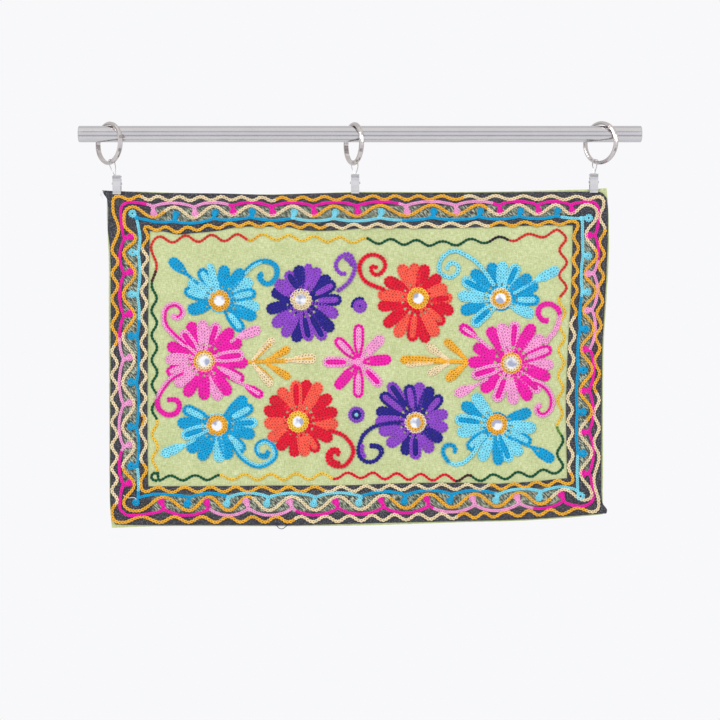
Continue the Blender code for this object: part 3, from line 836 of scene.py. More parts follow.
# %% The band between the outer and the inner outline
BAND_WIDTH = 46.0
BAND = {
    # side: (0 for marks in x or 1 for marks in z, outer outline, inner outline)
    "top": (
        0,
        ((-306, -71), (-171, -73), (-110, -74.2), (-6, -71.6), (171, -71.5), (300, -73)),
        ((-256, -118.5), (-222, -122), (-150, -114), (-24, -117), (87, -115), (259, -112)),
    ),
    "right": (
        1,
        ((-463, 293), (-324, 294), (-261, 295), (-196, 299), (-118, 302), (-70, 300)),
        ((-419, 252), (-373, 250.8), (-324, 250.5), (-251, 253.5), (-202, 256.8), (-112, 259)),
    ),
    "bottom": (
        0,
        ((-303, -476), (-171, -476.7), (-24, -475), (122, -471.8), (244, -466.2), (293, -463)),
        ((-258, -429), (-107, -428), (-13, -427.7), (80, -425), (171, -426), (252, -419)),
    ),
    "left": (
        1,
        ((-476, -303), (-429, -304), (-202, -304), (-142, -304), (-71, -302.5)),
        ((-429, -258), (-350, -258.8), (-275, -258.5), (-202, -257.9), (-118.5, -256)),
    ),
}
SIDES = ("top", "right", "bottom", "left")
# Outer and inner corners, from the upper left one on clockwise
CORNERS = (
    ((-302.5, -71), (-256, -118.5)),
    ((300, -73), (259, -112)),
    ((293, -463), (252, -419)),
    ((-303, -476), (-258, -429)),
)
# Crests of the large wave, clockwise. The first and last ones stand in the corners
CRESTS = {
    "top": (-279, -226, -178, -133, -82, -32, 24, 88, 145, 194, 239, 275),
    "right": (-98, -148, -192, -237, -287, -338, -388, -438),
    "bottom": (275, 220, 168, 112, 56, 1, -54, -111, -160, -208, -270),
    "left": (-450, -405, -357, -303, -247, -196, -145, -110),
}


def outlines_at(side, marks):
    """Where the outer and the inner outline of a side lie, at marks along it."""
    return [np.interp(marks, *np.array(line, dtype=float).T) for line in BAND[side][1:]]


def band_place(side, marks, far):
    """Places at marks along a side, and at shares far of the band's width."""
    outer, inner = outlines_at(side, marks)
    across = outer * (1.0 - far) + inner * far
    return np.stack((across, marks) if BAND[side][0] else (marks, across), axis=1)


def row_ends(side, far):
    """The marks at which a row at a share of the width starts and ends on a side."""
    number = SIDES.index(side)
    axis = BAND[side][0]
    corners = (CORNERS[number], CORNERS[(number + 1) % 4])
    return [outer[axis] * (1.0 - far) + inner[axis] * far for outer, inner in corners]


PATH_STEP = 1.2
CORNER_SOFT = 8
ROW_MARKS = 600


def round_corners(path, corners, reach=11.0):
    """Smooths a closed path near some of its places."""
    width = CORNER_SOFT
    weights = np.hanning(2 * width + 3)[1:-1]
    weights /= weights.sum()
    looped = np.vstack((path[-width:], path, path[:width]))
    soft = np.stack([np.convolve(looped[:, k], weights, "valid") for k in (0, 1)], axis=1)
    near = np.min([np.linalg.norm(path - corner, axis=1) for corner in corners], axis=0)
    mix = np.exp(-((near / reach) ** 2))[:, None]
    return path * (1.0 - mix) + soft * mix


def ring_row(pattern):
    """Joins the four sides of a row: pattern gives marks and shares for a side."""
    parts = [band_place(side, *pattern(side)) for side in SIDES]
    path = np.vstack(parts)
    even, _ = walk(np.vstack((path, path[:1])), PATH_STEP)
    path = round_corners(even, [part[0] for part in parts])
    return np.vstack((path, path[:1]))


def wave_row(table, crests):
    """A waved row. table gives the share and the height of the wave for each side,
    and crests the marks where it swings outwards, clockwise."""

    def pattern(side):
        far, height = table[side]
        marks = np.linspace(*row_ends(side, far), ROW_MARKS)
        stops = np.array(crests[side], dtype=float)
        order = np.argsort(stops)
        turns = np.interp(marks, stops[order], order.astype(float))
        return marks, far - height * np.cos(2.0 * np.pi * turns) / BAND_WIDTH

    return ring_row(pattern)


print("crests of the large wave:", sum(len(marks) for marks in CRESTS.values()))

# %% [markdown]
# Knobs
# The two knobbed lines arch from knob to knob. A knob is a stem and a round of a few
# stitches, which leans a little clockwise. The first line is magenta and pink, and
# its small knobs point inwards. The second is blue and cyan, with larger knobs that
# point outwards. It has one more at each corner, where its two sides meet.


# %% Knobbed lines
# Places on an arch, and how round an arch is between two knobs and at a corner
ARCH_MARKS = 25
ARCH_ROUND = 0.7
END_ROUND = 0.5


def knobbed_line(table, facing, stops):
    """A line that arches from knob to knob. table gives for each side the share of
    the width and the height of the arches. facing is 1 where the knobs point in."""

    def pattern(side):
        far, arch = table[side][:2]
        start, end = row_ends(side, far)
        feet = [start, *stops(side), end]
        marks, out = [], []
        for number, (foot, following) in enumerate(zip(feet, feet[1:])):
            last = number == len(feet) - 2
            part = np.linspace(0.0, 1.0, ARCH_MARKS)[: None if last else -1]
            rise = np.sin(np.pi * part) ** ARCH_ROUND
            if number == 0:
                rise = np.cos(np.pi * part / 2.0) ** END_ROUND
            elif last:
                rise = np.sin(np.pi * part / 2.0) ** END_ROUND
            marks.extend(foot + (following - foot) * part)
            out.extend(facing * arch * rise)
        return np.array(marks), far - np.array(out) / BAND_WIDTH

    return ring_row(pattern)


def sew_knob(kit, foot, middle, radius, dye):
    """A stem from the foot on, and a round of stitches about the middle."""
    foot, middle = np.array(foot, dtype=float), np.array(middle, dtype=float)
    stem = (foot, foot + (middle - foot) * STEM_SHARE)
    sew(kit, stem, dye, LINE_LIFT, STEM_WIDE, SHORT_STITCH)
    sew(kit, ring_path(middle, radius), dye, KNOB_LIFT, 1.0, KNOB_STITCH)


def sew_knobs(kit, table, facing, stops, thread):
    """Sews the knobs of a line. table gives for each side, after share and height,
    how far a knob's middle lies off the line, its radius and how far it leans."""
    for side in SIDES:
        far, _, off, radius, lean = table[side]
        marks = stops(side)
        way = math.copysign(1.0, row_ends(side, far)[1] - row_ends(side, far)[0])
        feet = band_place(side, marks, far)
        middles = band_place(side, marks + way * lean, far + facing * off / BAND_WIDTH)
        for foot, middle in zip(feet, middles):
            sew_knob(kit, foot, middle, radius, thread(*middle))


def between(side):
    """Marks halfway between the large wave's crests."""
    marks = np.array(CRESTS[side], dtype=float)
    return (marks[1:] + marks[:-1]) / 2.0


def at_crests(side):
    """Marks of the large wave's crests, without the corners."""
    return np.array(CRESTS[side][1:-1], dtype=float)


print("knobs:", sum(2 * len(at_crests(side)) + 1 for side in SIDES))

# %% [markdown]
# Changing the thread
# A row is sewn with whatever thread is at hand, so every few hands' breadths it
# changes from one colour to another. Each row has a short table: for every side the
# colour it starts with, and the places where it changes, along the side.

# %% Colours along a row
BAND_MIDDLE = (-4.5, -271.0)
BAND_HALF = (278.0, 176.0)


def dyes_along(runs):
    """A function that gives the dye of a place in a border row, from a table of runs
    (first dye, place of a change, next dye, ...) for the four sides."""

    def dye(x, z):
        across, up = x - BAND_MIDDLE[0], z - BAND_MIDDLE[1]
        if BAND_HALF[0] - abs(across) > BAND_HALF[1] - abs(up):
            name, mark = ("top", x) if up > 0 else ("bottom", x)
        else:
            name, mark = ("left", z) if across < 0 else ("right", z)
        run = runs[name]
        rising = name in ("top", "bottom")
        found = run[0]
        for limit, following in zip(run[1::2], run[2::2]):
            if (mark > limit) if rising else (mark < limit):
                found = following
        return found

    return dye


OUTER_RUNS = {
    "top": ("orange", -268, "cream", -104, "orange", 128, "cream"),
    "right": ("cream", -115, "orange", -314, "cream"),
    "bottom": ("orange", -79, "cream", 119, "orange", 278, "cream"),
    "left": ("orange", -257, "cream", -452, "orange"),
}
PINK_RUNS = {
    "top": ("magenta", -259, "pink", -160, "magenta", 46, "pink", 162, "magenta"),
    "right": ("magenta", -153, "pink", -262, "magenta"),
    "bottom": ("magenta", -183, "pink", -78, "magenta", 89, "pink", 210, "magenta"),
    "left": ("magenta", -248, "pink", -386, "magenta"),
}
LARGE_RUNS = {
    "top": ("orange", -238, "cream", -60, "orange", 155, "cream"),
    "right": ("cream", -141, "orange", -350, "cream"),
    "bottom": ("orange", -130, "cream", 38, "orange", 231, "cream"),
    "left": ("orange", -241, "cream", -407, "orange"),
}
BLUE_RUNS = {
    "top": ("blue", -85, "cyan", 52, "blue", 244, "cyan"),
    "right": ("cyan", -198, "blue", -391, "cyan"),
    "bottom": ("blue", -163, "cyan", 2, "blue", 165, "cyan"),
    "left": ("cyan", -227, "blue", -407, "cyan"),
}
INNER_RUNS = {
    "top": ("orange", -40, "cream", 156, "orange"),
    "right": ("orange", -223, "cream", -412, "orange"),
    "bottom": ("orange", -43, "cream", 160, "orange"),
    "left": ("orange", -139, "cream", -400, "orange"),
}
OUTER_TABLE = {
    # side: share of the width, height of the wave
    "top": (0.14, 2.6),
    "right": (0.15, 3.6),
    "bottom": (0.14, 3.5),
    "left": (0.12, 3.7),
}
LARGE_TABLE = {"top": (0.49, 6.7), "right": (0.45, 7.8), "bottom": (0.54, 8.2), "left": (0.49, 7.2)}
INNER_TABLE = {"top": (0.91, 2.8), "right": (0.89, 3.4), "bottom": (0.90, 3.2), "left": (0.89, 3.6)}
OUTER_CRESTS = {
    "top": (-294, -269, -246, -220, -194, -168, -144, -119, -95, -70, -44, -14, 16, 43, 71)
    + (99, 134, 165, 200, 233, 265, 290),
    "right": (-85, -117, -147, -174, -204, -234, -261, -292, -324, -358, -393, -450),
    "bottom": (284, 245, 218, 193, 162, 140, 113, 86, 56, 28, 1, -27, -57, -87, -116)
    + (-145, -176, -209, -243, -288),
    "left": (-458, -434, -407, -380, -351, -323, -294, -266, -233, -201, -170, -142, -91),
}
INNER_CRESTS = {
    "top": (-261, -236, -210, -185, -159, -135, -110, -86, -61, -36, -8, 21, 51, 81, 111)
    + (141, 171, 201, 231, 256),
    "right": (-110, -140, -167, -191, -218, -246, -275, -307, -337, -363, -391, -421),
    "bottom": (252, 228, 201, 173, 146, 116, 83, 51, 22, -8, -38, -72, -101, -137, -166)
    + (-198, -229, -263),
    "left": (-423, -395, -362, -335, -309, -282, -255, -223, -191, -165, -139, -112),
}

LARGE_LIFT = 0.25
border = []
sew(border, wave_row(OUTER_TABLE, OUTER_CRESTS), dyes_along(OUTER_RUNS))
sew(border, wave_row(LARGE_TABLE, CRESTS), dyes_along(LARGE_RUNS), lift=LARGE_LIFT)
sew(border, wave_row(INNER_TABLE, INNER_CRESTS), dyes_along(INNER_RUNS))
lay("border_waves", border, link, STRIP_FRONT)

# %% The two knobbed lines
LINE_LIFT = 0.12
KNOB_LIFT = 0.3
LINE_WIDE = 0.95
STEM_WIDE = 1.35
# How much of the way from the line to the knob's middle is a stem
STEM_SHARE = 0.7
KNOB_STITCH = 2.2
PINK_TABLE = {
    # side: share of the width, height of the arches, knobs: offset, radius, lean
    "top": (0.37, 5.6, 7.6, 2.8, 1.5),
    "right": (0.38, 6.4, 6.7, 2.9, 0.5),
    "bottom": (0.43, 8.6, 7.6, 2.8, 3.2),
    "left": (0.37, 5.8, 6.8, 2.9, 2.6),
}
BLUE_TABLE = {
    "top": (0.68, 4.0, 7.1, 2.9, 2.0),
    "right": (0.675, 2.0, 6.5, 3.2, 0.8),
    "bottom": (0.69, 5.4, 7.0, 3.0, 2.5),
    "left": (0.706, 2.9, 6.4, 3.3, 0.5),
}
CORNER_KNOBS = (
    # foot, middle, radius, dye
    ((-274.0, -100.8), (-277.2, -97.0), 3.4, "cyan"),
    ((267.5, -103.0), (278.6, -102.5), 3.4, "cyan"),
    ((264.5, -436.5), (267.8, -441.0), 3.6, "cyan"),
    ((-271.0, -445.0), (-272.4, -448.8), 3.0, "blue"),
)
CORNER_REACH = 19.0


def meet_at_knobs(path, knobs):
    """Draws the path straight towards a foot wherever it comes near one."""
    for foot, *_ in knobs:
        away = path - np.array(foot)
        gap = np.linalg.norm(away, axis=1)
        nearest = int(np.argmin(gap))
        near = np.linalg.norm(path - path[nearest], axis=1)
        share = np.clip(1.0 - near / CORNER_REACH, 0.0, 1.0)[:, None]
        path = path - away[nearest] * share
    return path


knobs = []
pink_line = knobbed_line(PINK_TABLE, 1, between)
sew(knobs, pink_line, dyes_along(PINK_RUNS), LINE_LIFT, LINE_WIDE, SHORT_STITCH)
sew_knobs(knobs, PINK_TABLE, 1, between, dyes_along(PINK_RUNS))
blue_line = meet_at_knobs(knobbed_line(BLUE_TABLE, -1, at_crests), CORNER_KNOBS)
sew(knobs, blue_line, dyes_along(BLUE_RUNS), LINE_LIFT, LINE_WIDE, SHORT_STITCH)
sew_knobs(knobs, BLUE_TABLE, -1, at_crests, dyes_along(BLUE_RUNS))
for foot, middle, radius, dye in CORNER_KNOBS:
    sew_knob(knobs, foot, middle, radius, dye)
lay("border_knobbed_lines", knobs, link, STRIP_FRONT)

# %% [markdown]
# The filling between the rows
# Between the two knobbed lines the black cloth is covered with fine grey-green
# stitches, too small to be modelled one by one. Every point of the strips gets a
# number, its filling, that says whether it lies there. The corners are left black.

# %% Where the filling lies
FILLED = {"top": (0.36, 0.74), "right": (0.36, 0.72), "bottom": (0.30, 0.78), "left": (0.34, 0.76)}
FILL_EDGE = 0.04
CORNER_POCKET = 26.0
CORNER_EDGE = 6.0


def filling(side, x, z):
    """1 in the filled part of a side of the border, 0 elsewhere."""
    marks, across = (z, x) if BAND[side][0] else (x, z)
    outer, inner = outlines_at(side, marks)
    far = (across - outer) / (inner - outer)
    low, high = FILLED[side]
    inside = smooth_step((far - low) / FILL_EDGE) * smooth_step((high - far) / FILL_EDGE)
    off_end = np.min([abs(marks - end) for end in row_ends(side, 0.5)], axis=0)
    return inside * smooth_step((off_end - CORNER_POCKET) / CORNER_EDGE)


for side in SIDES:
    mesh = sheets["black_" + side][0].data
    places = np.empty(len(mesh.vertices) * 3)
    mesh.vertices.foreach_get("co", places)
    x, y, z = places.reshape(-1, 3).T / MM
    note = mesh.attributes.new("filling", "FLOAT", "POINT")
    note.data.foreach_set("value", filling(side, x, z))
print("filled sides:", len(SIDES))

# %% [markdown]
# The line round the panel
# Inside the border, a single row waves round the green panel. It is sewn straight on
# the ground cloth, so it lies a strip's thickness lower than the border's rows. Its
# colours change from red through yellow to dark green.

# %% The panel's line
PANEL_STRETCHES = (
    # from, to, height of the wave, first and last turn: it swings outwards at a quarter
    ((-252, -129), (-117.7, -125.5), 4.2, 0.0, 4.25),
    ((-117.7, -125.5), (100, -133.5), 3.4, 0.25, 7.25),
    ((100, -133.5), (196, -126.5), 3.4, 0.25, 3.0),
    ((196, -126.5), (241.6, -119.5), 3.6, 0.0, 1.25),
    ((248, -126), (246.5, -218), 4.8, 0.25, 3.25),
    ((246.5, -218), (243, -340), 3.5, 0.25, 4.25),
    ((243, -340), (243.6, -406), 3.8, 0.25, 2.25),
    ((238, -411), (147, -420), 3.8, 0.25, 3.25),
    ((147, -420), (1, -416), 4.0, 0.25, 5.25),
    ((1, -416), (-156, -418.5), 3.9, 0.25, 5.25),
    ((-156, -418.5), (-246, -419.5), 3.2, 0.25, 3.25),
    ((-249.5, -411), (-251, -185), 3.5, -0.25, 7.25),
    ((-251, -185), (-251.5, -137), 3.5, 0.25, 1.25),
)
PANEL_RUNS = {
    "top": ("brick", -138, "orange", -120, "yellow", 6, "green", 155, "black", 181, "brick"),
    "right": ("brick", -200, "yellow", -357, "lime", -366, "green"),
    "bottom": ("green", -170, "yellow", -32, "red", 118, "brown", 138, "green"),
    "left": ("brick", -166, "brown", -182, "green", -349, "yellow", -412, "green"),
}
PANEL_SOFT = 7.0
PANEL_WIDE = 0.84
PANEL_END = ((-246, -415), (-250, -412.5), (-254, -416), (-253, -421), (-247, -422.5))


def panel_line():
    """The waved line round the panel, stretch after stretch."""
    places = []
    for start, end, height, first, last in PANEL_STRETCHES:
        start, end = np.array(start, dtype=float), np.array(end, dtype=float)
        along = (end - start) / np.linalg.norm(end - start)
        out = np.array((-along[1], along[0]))
        turns = np.linspace(first, last, round(24 * (last - first)))[:, None]
        share = (turns - first) / (last - first)
        places.append(start + (end - start) * share + out * height * np.sin(2 * np.pi * turns))
    path = np.vstack(places)
    even, _ = walk(np.vstack((path, path[:1])), PATH_STEP)
    soft = round_corners(even, [part[0] for part in places], PANEL_SOFT)
    return np.vstack((soft, soft[:1]))


panel = []
sew(panel, panel_line(), dyes_along(PANEL_RUNS), wide=PANEL_WIDE)
sew(panel, smooth_path(PANEL_END, 30), "green", wide=PANEL_WIDE)
lay("panel_line", panel, link, GROUND_FRONT)

# %% [markdown]
# Petals
# A petal is filled from its outline inwards: one row runs up its side, round its tip
# and back, the next row lies inside it, and a last one may run up the middle. Where
# the outline and the inside take two shades, the petal gets a lighter or darker
# heart. The same filling makes the buds and the leaves of the sprays.

# %% Filling a club shape
ROW = 3.6
CLUB_FAT = 1.1
CLUB_MARKS = 25
TIP_MARKS = 11
# The room that an inner row needs, and its least way from the middle line
ROW_ROOM = 0.3
ROW_OFF = 0.35
# The room that a middle row needs, as a share of the pitch, and its height
MIDDLE_ROOM = 0.45
MIDDLE_LIFT = 0.15


def club(kit, root, tip, wide, outline, heart, foot=3.0, bend=0.0, lift=0.0, swift=1.15):
    """Fills the club between a root and a tip with rows, one inside the other. foot
    is half of its width at the root, bend how far the tip swings sideways, and swift
    how soon it reaches its full width."""
    root, tip = np.array(root, dtype=float), np.array(tip, dtype=float)
    length = np.linalg.norm(tip - root)
    along = (tip - root) / length
    side = np.array((-along[1], along[0]))
    half = wide / 2.0
    neck = length - half
    stations = np.linspace(0.0, neck, CLUB_MARKS)
    breadth = foot + (half - foot) * smooth_step(stations / neck * swift)
    rows = max(2, round(wide / ROW))
    pitch = wide / rows
    fat = pitch / ROW * CLUB_FAT

    def placed(forward, across):
        swing = bend * (forward / length) ** 2
        return root + np.outer(forward, along) + np.outer(across + swing, side)

    for number in range(rows // 2):
        inset = pitch * (number + 0.5)
        open_part = (breadth - inset > ROW_ROOM) | (number == 0)
        forward = stations[open_part]
        across = np.maximum(breadth - inset, ROW_OFF)[open_part]
        angles = np.linspace(-np.pi / 2, np.pi / 2, TIP_MARKS)[1:-1]
        reach = half - inset
        way = np.concatenate((forward, neck + reach * np.cos(angles), forward[::-1]))
        off = np.concatenate((-across, reach * np.sin(angles), across[::-1]))
        sew(kit, placed(way, off), outline if number == 0 else heart, lift, fat)
    if rows % 2:
        forward = np.append(stations[breadth > pitch * MIDDLE_ROOM], neck)
        sew(kit, placed(forward, np.zeros_like(forward)), heart, lift + MIDDLE_LIFT, fat)


print("club filling ready")

# %% [markdown]
# The ten flowers
# Each flower is a ring of petals round a mirror. The blue ones leave a gap in the
# ring. A petal is one of four kinds: D all dark, L all light, d dark with a light
# heart, and l light with a dark heart. As the flowers were sewn free, every petal has
# its own direction, reach and width.

# %% Flowers
PETAL_KINDS = {"D": (0, 0), "L": (1, 1), "d": (0, 1), "l": (1, 0)}
PETAL_ROOT = 12.0
PETAL_WIDTH = 14.0
PETAL_MORE = 0.8
PETAL_FOOT = 4.2
PETAL_SWIFT = 1.9
PETAL_LIFTS = (0.25, 0.65)
PETAL_BEND = 2.0
BED_RADIUS = 15.4
# A petal is written as: angle, kind, reach from the flower's middle and, at times, width
FLOWERS = (
    (
        (-170.9, -204.2),
        ("blue", "cyan"),
        "-52 d 45, -26 D 48, -7 L 48, 16 d 45, 34 L 47 15, 56 D 48, 80 D 44 14, 105 l 48 9, "
        "121 d 46, 146 L 45 14, 164 d 45, 198 D 40 15",
    ),
    (
        (-70.9, -203.7),
        ("indigo", "violet"),
        "2 d 48, 26 d 46, 44 D 45, 65 L 45, 79 L 46 10, 96 D 43, 115 l 40, 142 L 39 16, "
        "164 D 38, 194 D 44, 221 L 46, 245 L 48, 263 D 50, 279 l 49, 300 l 54, 318 D 52, 339 L 47",
    ),
    (
        (70.2, -200.7),
        ("red", "coral"),
        "0 l 42, 22 L 38, 47 D 39, 77 D 42, 97 L 43, 116 L 46, 147 D 46 15, 173 L 48, 193 D 49, "
        "219 D 52, 239 L 53, 261 d 52, 279 D 54, 297 L 51, 318 d 44, 341 D 46",
    ),
    (
        (173.0, -201.2),
        ("blue", "cyan"),
        "-28 L 43, -2 d 45, 21 D 47, 40 D 45, 66 l 46, 90 L 45, 107 D 46, 137 D 50, 155 l 54, "
        "176 L 53, 198 D 52, 220 l 48",
    ),
    (
        (-190.1, -275.6),
        ("magenta", "pink"),
        "-4 D 53, 9 l 49, 25 D 51, 47 D 51, 69 l 48, 91 L 48, 112 D 49, 129 l 45, 159 D 48, "
        "177 L 46, 199 d 48, 223 L 46, 245 D 49, 270 D 48, 291 L 52, 308 D 52, 334 d 54",
    ),
    (
        (184.0, -279.4),
        ("magenta", "pink"),
        "-1 L 51, 19 d 52, 41 L 51, 61 D 54, 84 l 51, 104 L 50, 122 D 51, 154 D 50, 177 D 52, "
        "199 l 50, 225 D 49, 248 l 50, 272 L 50, 296 D 50, 314 l 49, 341 D 50",
    ),
    (
        (-173.3, -354.9),
        ("blue", "cyan"),
        "44 D 48, 28 d 48, 5 l 48, -16 D 46 14, -43 d 45, -72 D 43, -89 L 45, -116 D 47, "
        "-138 D 48 15, 196 l 46, 176 D 49 14, 153 d 47",
    ),
    (
        (-75.2, -351.0),
        ("red", "coral"),
        "79 D 52, 59 L 54, 40 D 51, 18 D 49, -2 L 48 14, -26 D 46 14, -55 d 43, -76 L 42, "
        "-96 D 42, -124 D 41, 211 L 42, 184 L 41, 160 D 44, 137 D 45, 117 L 47, 95 l 50",
    ),
    (
        (68.0, -351.9),
        ("indigo", "violet"),
        "44 d 45, 67 D 47, 86 L 49, 102 d 47 14, 122 l 58, 140 d 55, 161 D 50, 176 L 49, "
        "196 L 46, 220 L 44, 249 D 41, 268 l 44, 298 L 40 15, 324 D 38 14, 350 L 39, 19 L 40 14",
    ),
    (
        (166.7, -353.9),
        ("blue", "cyan"),
        "22 D 44 13, -6 L 47 15, -28 d 47 14, -51 L 47, -72 l 48, -88 D 49 13, 245 L 48, "
        "218 d 46, 194 L 49 14, 173 l 51, 150 D 49, 129 L 46",
    ),
)


def polar(middle, angle, reach):
    """The place at an angle in degrees and a distance from a middle."""
    turn = math.radians(angle)
    return (middle[0] + reach * math.cos(turn), middle[1] + reach * math.sin(turn))


def flower(kit, middle, shades, petals):
    """A ring of petals on a bed of one arc. Every second one overlaps its neighbours."""
    table = [petal.split() for petal in petals.split(",")]
    angles = np.degrees(np.unwrap(np.radians([float(row[0]) for row in table])))
    sew(kit, ring_path(middle, BED_RADIUS, angles[0], angles[-1] - angles[0]), shades[0])
    for number, (angle, kind, reach, *width) in enumerate(table):
        outline, heart = (shades[k] for k in PETAL_KINDS[kind])
        wide = float(width[0]) if width else PETAL_WIDTH
        ends = (PETAL_ROOT, float(reach) + PETAL_MORE)
        root, tip = (polar(middle, float(angle), far) for far in ends)
        bend, lift = chance.uniform(-PETAL_BEND, PETAL_BEND), PETAL_LIFTS[number % 2]
        club(kit, root, tip, wide, outline, heart, PETAL_FOOT, bend, lift, PETAL_SWIFT)


kits = {}
for middle, shades, petals in FLOWERS:
    flower(kits.setdefault(shades[0], []), middle, shades, petals)
print("flowers:", {name: len(kit) for name, kit in kits.items()})

# %% [markdown]
# The star and the dots
# The middle of the panel has a star of eight long petals, and a dot above and below.

# %% Star and dots
STAR_MIDDLE = (-1.6, -278.0)
STAR_ROOT = 2.5
STAR_MORE = 1.6
STAR_WIDTH = 12.8
STAR_FOOT = 2.4
STAR_SWIFT = 1.7
HUB_RADII = (3.4, 0.9)
HUB_LIFT = 0.9
STAR = (
    # angle, outline, heart, reach
    (5, "magenta", "magenta", 38.5),
    (47, "pink", "pink", 42.0),
    (90, "magenta", "pink", 45.0),
    (134, "magenta", "pink", 39.0),
    (180, "pink", "magenta", 42.5),
    (229, "magenta", "magenta", 41.0),
    (269, "magenta", "pink", 42.5),
    (313, "pink", "magenta", 38.5),
)
for angle, outline, heart, reach in STAR:
    root, tip = (polar(STAR_MIDDLE, angle, far) for far in (STAR_ROOT, reach + STAR_MORE))
    shape = {"foot": STAR_FOOT, "swift": STAR_SWIFT}
    club(kits["magenta"], root, tip, STAR_WIDTH, outline, heart, **shape)
for radius in HUB_RADII:
    sew(kits["magenta"], ring_path(STAR_MIDDLE, radius), "pink", HUB_LIFT, 1.0, SHORT_STITCH)

DOTS = (
    # middle, rings from outside in: radius and dye
    ((-0.1, -209.8), ((7.0, "violet"), (3.6, "violet"), (0.9, "indigo"))),
    ((-4.4, -342.1), ((8.4, "violet"), (4.8, "indigo"), (1.2, "cyan"))),
)
# middle, radius, first angle and turn
DOT_ARC = ((-0.1, -209.8), 9.6, 60.0, 130.0)
for middle, rings in DOTS:
    for radius, dye in rings:
        sew(kits["indigo"], ring_path(middle, radius), dye, step=SHORT_STITCH)
sew(kits["indigo"], ring_path(*DOT_ARC), "indigo")
print("star petals:", len(STAR), "dots:", len(DOTS))

# %% [markdown]
# Curls
# One or two tendrils leave each flower and roll up. Each is a smooth curve through a
# few places, sewn as one row or as two rows side by side, and some end in a small knob.

# %% Curls
CURLS = (
    # kit, dyes of the rows from the left one on, places
    (
        "blue",
        ("blue", "cyan"),
        ((-141, -170), (-134, -163), (-127, -158), (-119, -155)),
    ),
    (
        "blue",
        ("blue", "blue"),
        ((-119, -155), (-110, -156), (-102, -162), (-101, -171), (-106, -180), (-114, -183))
        + ((-120, -179), (-123, -173), (-118.5, -170)),
    ),
    (
        "indigo",
        ("violet",),
        ((-28, -192), (-14, -181), (-7, -167), (-7, -157), (-14, -146), (-25, -151))
        + ((-30, -161), (-24, -170), (-17, -170)),
    ),
    ("indigo", ("violet",), ((-19, -151), (-13, -154), (-10, -161))),
    (
        "red",
        ("red",),
        ((30, -190), (6, -179), (-1, -162), (6, -150), (16, -147), (27, -151), (31, -160))
        + ((27, -168), (20, -172), (14, -168), (14, -161), (21, -163)),
    ),
    (
        "blue",
        ("cyan",),
        ((164, -185), (145, -159), (130, -148), (115, -142), (103, -148), (97, -157))
        + ((97, -168), (109, -175), (119, -169), (120, -161), (112, -156), (105, -163)),
    ),
    (
        "magenta",
        ("pink", "magenta"),
        ((-212, -258), (-226, -246), (-237, -233), (-239, -221), (-236, -212), (-226, -207))
        + ((-218, -212), (-216, -219), (-223, -225), (-228, -222)),
    ),
    (
        "magenta",
        ("magenta", "pink"),
        ((-216, -290), (-230, -298), (-241, -311), (-247, -323)),
    ),
    (
        "magenta",
        ("magenta", "magenta"),
        ((-247, -323), (-245, -335), (-235, -342), (-224, -340), (-220, -331), (-224, -324))
        + ((-235, -324),),
    ),
    (
        "magenta",
        ("pink", "pink"),
        ((224, -256), (231, -248), (238, -239), (242, -229), (243.5, -220)),
    ),
    (
        "magenta",
        ("magenta", "magenta"),
        ((243.5, -220), (240, -212), (230, -207), (220, -210), (217, -218), (222, -227))
        + ((229, -228),),
    ),
    (
        "magenta",
        ("pink", "magenta"),
        ((212, -301), (224, -307), (232, -317), (234, -327), (231, -337), (223, -343))
        + ((216, -340), (215, -334), (219, -330)),
    ),
    (
        "blue",
        ("cyan", "blue"),
        ((-154, -380), (-144, -394), (-128, -404), (-116, -403), (-104, -394), (-103, -388))
        + ((-106, -380), (-115, -374), (-124, -378), (-126, -384), (-123, -391)),
    ),
    ("blue", ("blue", "blue"), ((-123, -391), (-115, -393), (-111, -386))),
    (
        "red",
        ("red",),
        ((-38, -361), (-22, -366), (-12, -376), (-8, -386), (-12, -397), (-20, -404.5))
        + ((-29, -405), (-38, -400), (-40, -393), (-37, -386), (-31, -383), (-25, -387))
        + ((-28, -392),),
    ),
    ("red", ("red",), ((-24, -401), (-32, -399), (-36, -393), (-33, -387), (-29, -387))),
    (
        "indigo",
        ("indigo",),
        ((49, -353), (44, -351.5), (32, -353), (21, -355), (13, -359), (4, -367))
        + ((-0.5, -378), (-2, -388), (2, -396), (11, -400), (20, -397), (26, -390)),
    ),
    ("indigo", ("indigo", "indigo"), ((26, -390), (26, -384), (22, -381), (17, -380), (12, -380))),
    ("indigo", ("violet",), ((3, -378), (2, -387), (6, -394))),
    (
        "blue",
        ("cyan",),
        ((154, -367), (145, -377), (140, -387), (133, -395), (125, -401), (115, -403))
        + ((108, -400),),
    ),
    (
        "blue",
        ("blue",),
        ((108, -400), (101, -389), (102, -382), (108, -378), (114, -380), (117, -386))
        + ((114, -388),),
    ),
)
CURL_ENDS = (
    # kit, middle, size and dye of the knob that a curl ends in
    ("magenta", (-227, -222.5), 2.4, "pink"),
    ("magenta", (227.5, -226.5), 1.6, "magenta"),
    ("magenta", (218, -331), 2.2, "pink"),
    ("blue", (106, -164), 1.4, "cyan"),
)


def offset_path(path, shift):
    """A path moved to its left by a shift."""
    run = np.gradient(path, axis=0)
    run /= np.linalg.norm(run, axis=1)[:, None]
    return path + shift * np.stack((-run[:, 1], run[:, 0]), axis=1)


# A curl starts high, over the petals, and comes down to the cloth
CURL_LIFTS = (1.4, 0.1)
CURL_END_LIFT = 0.2
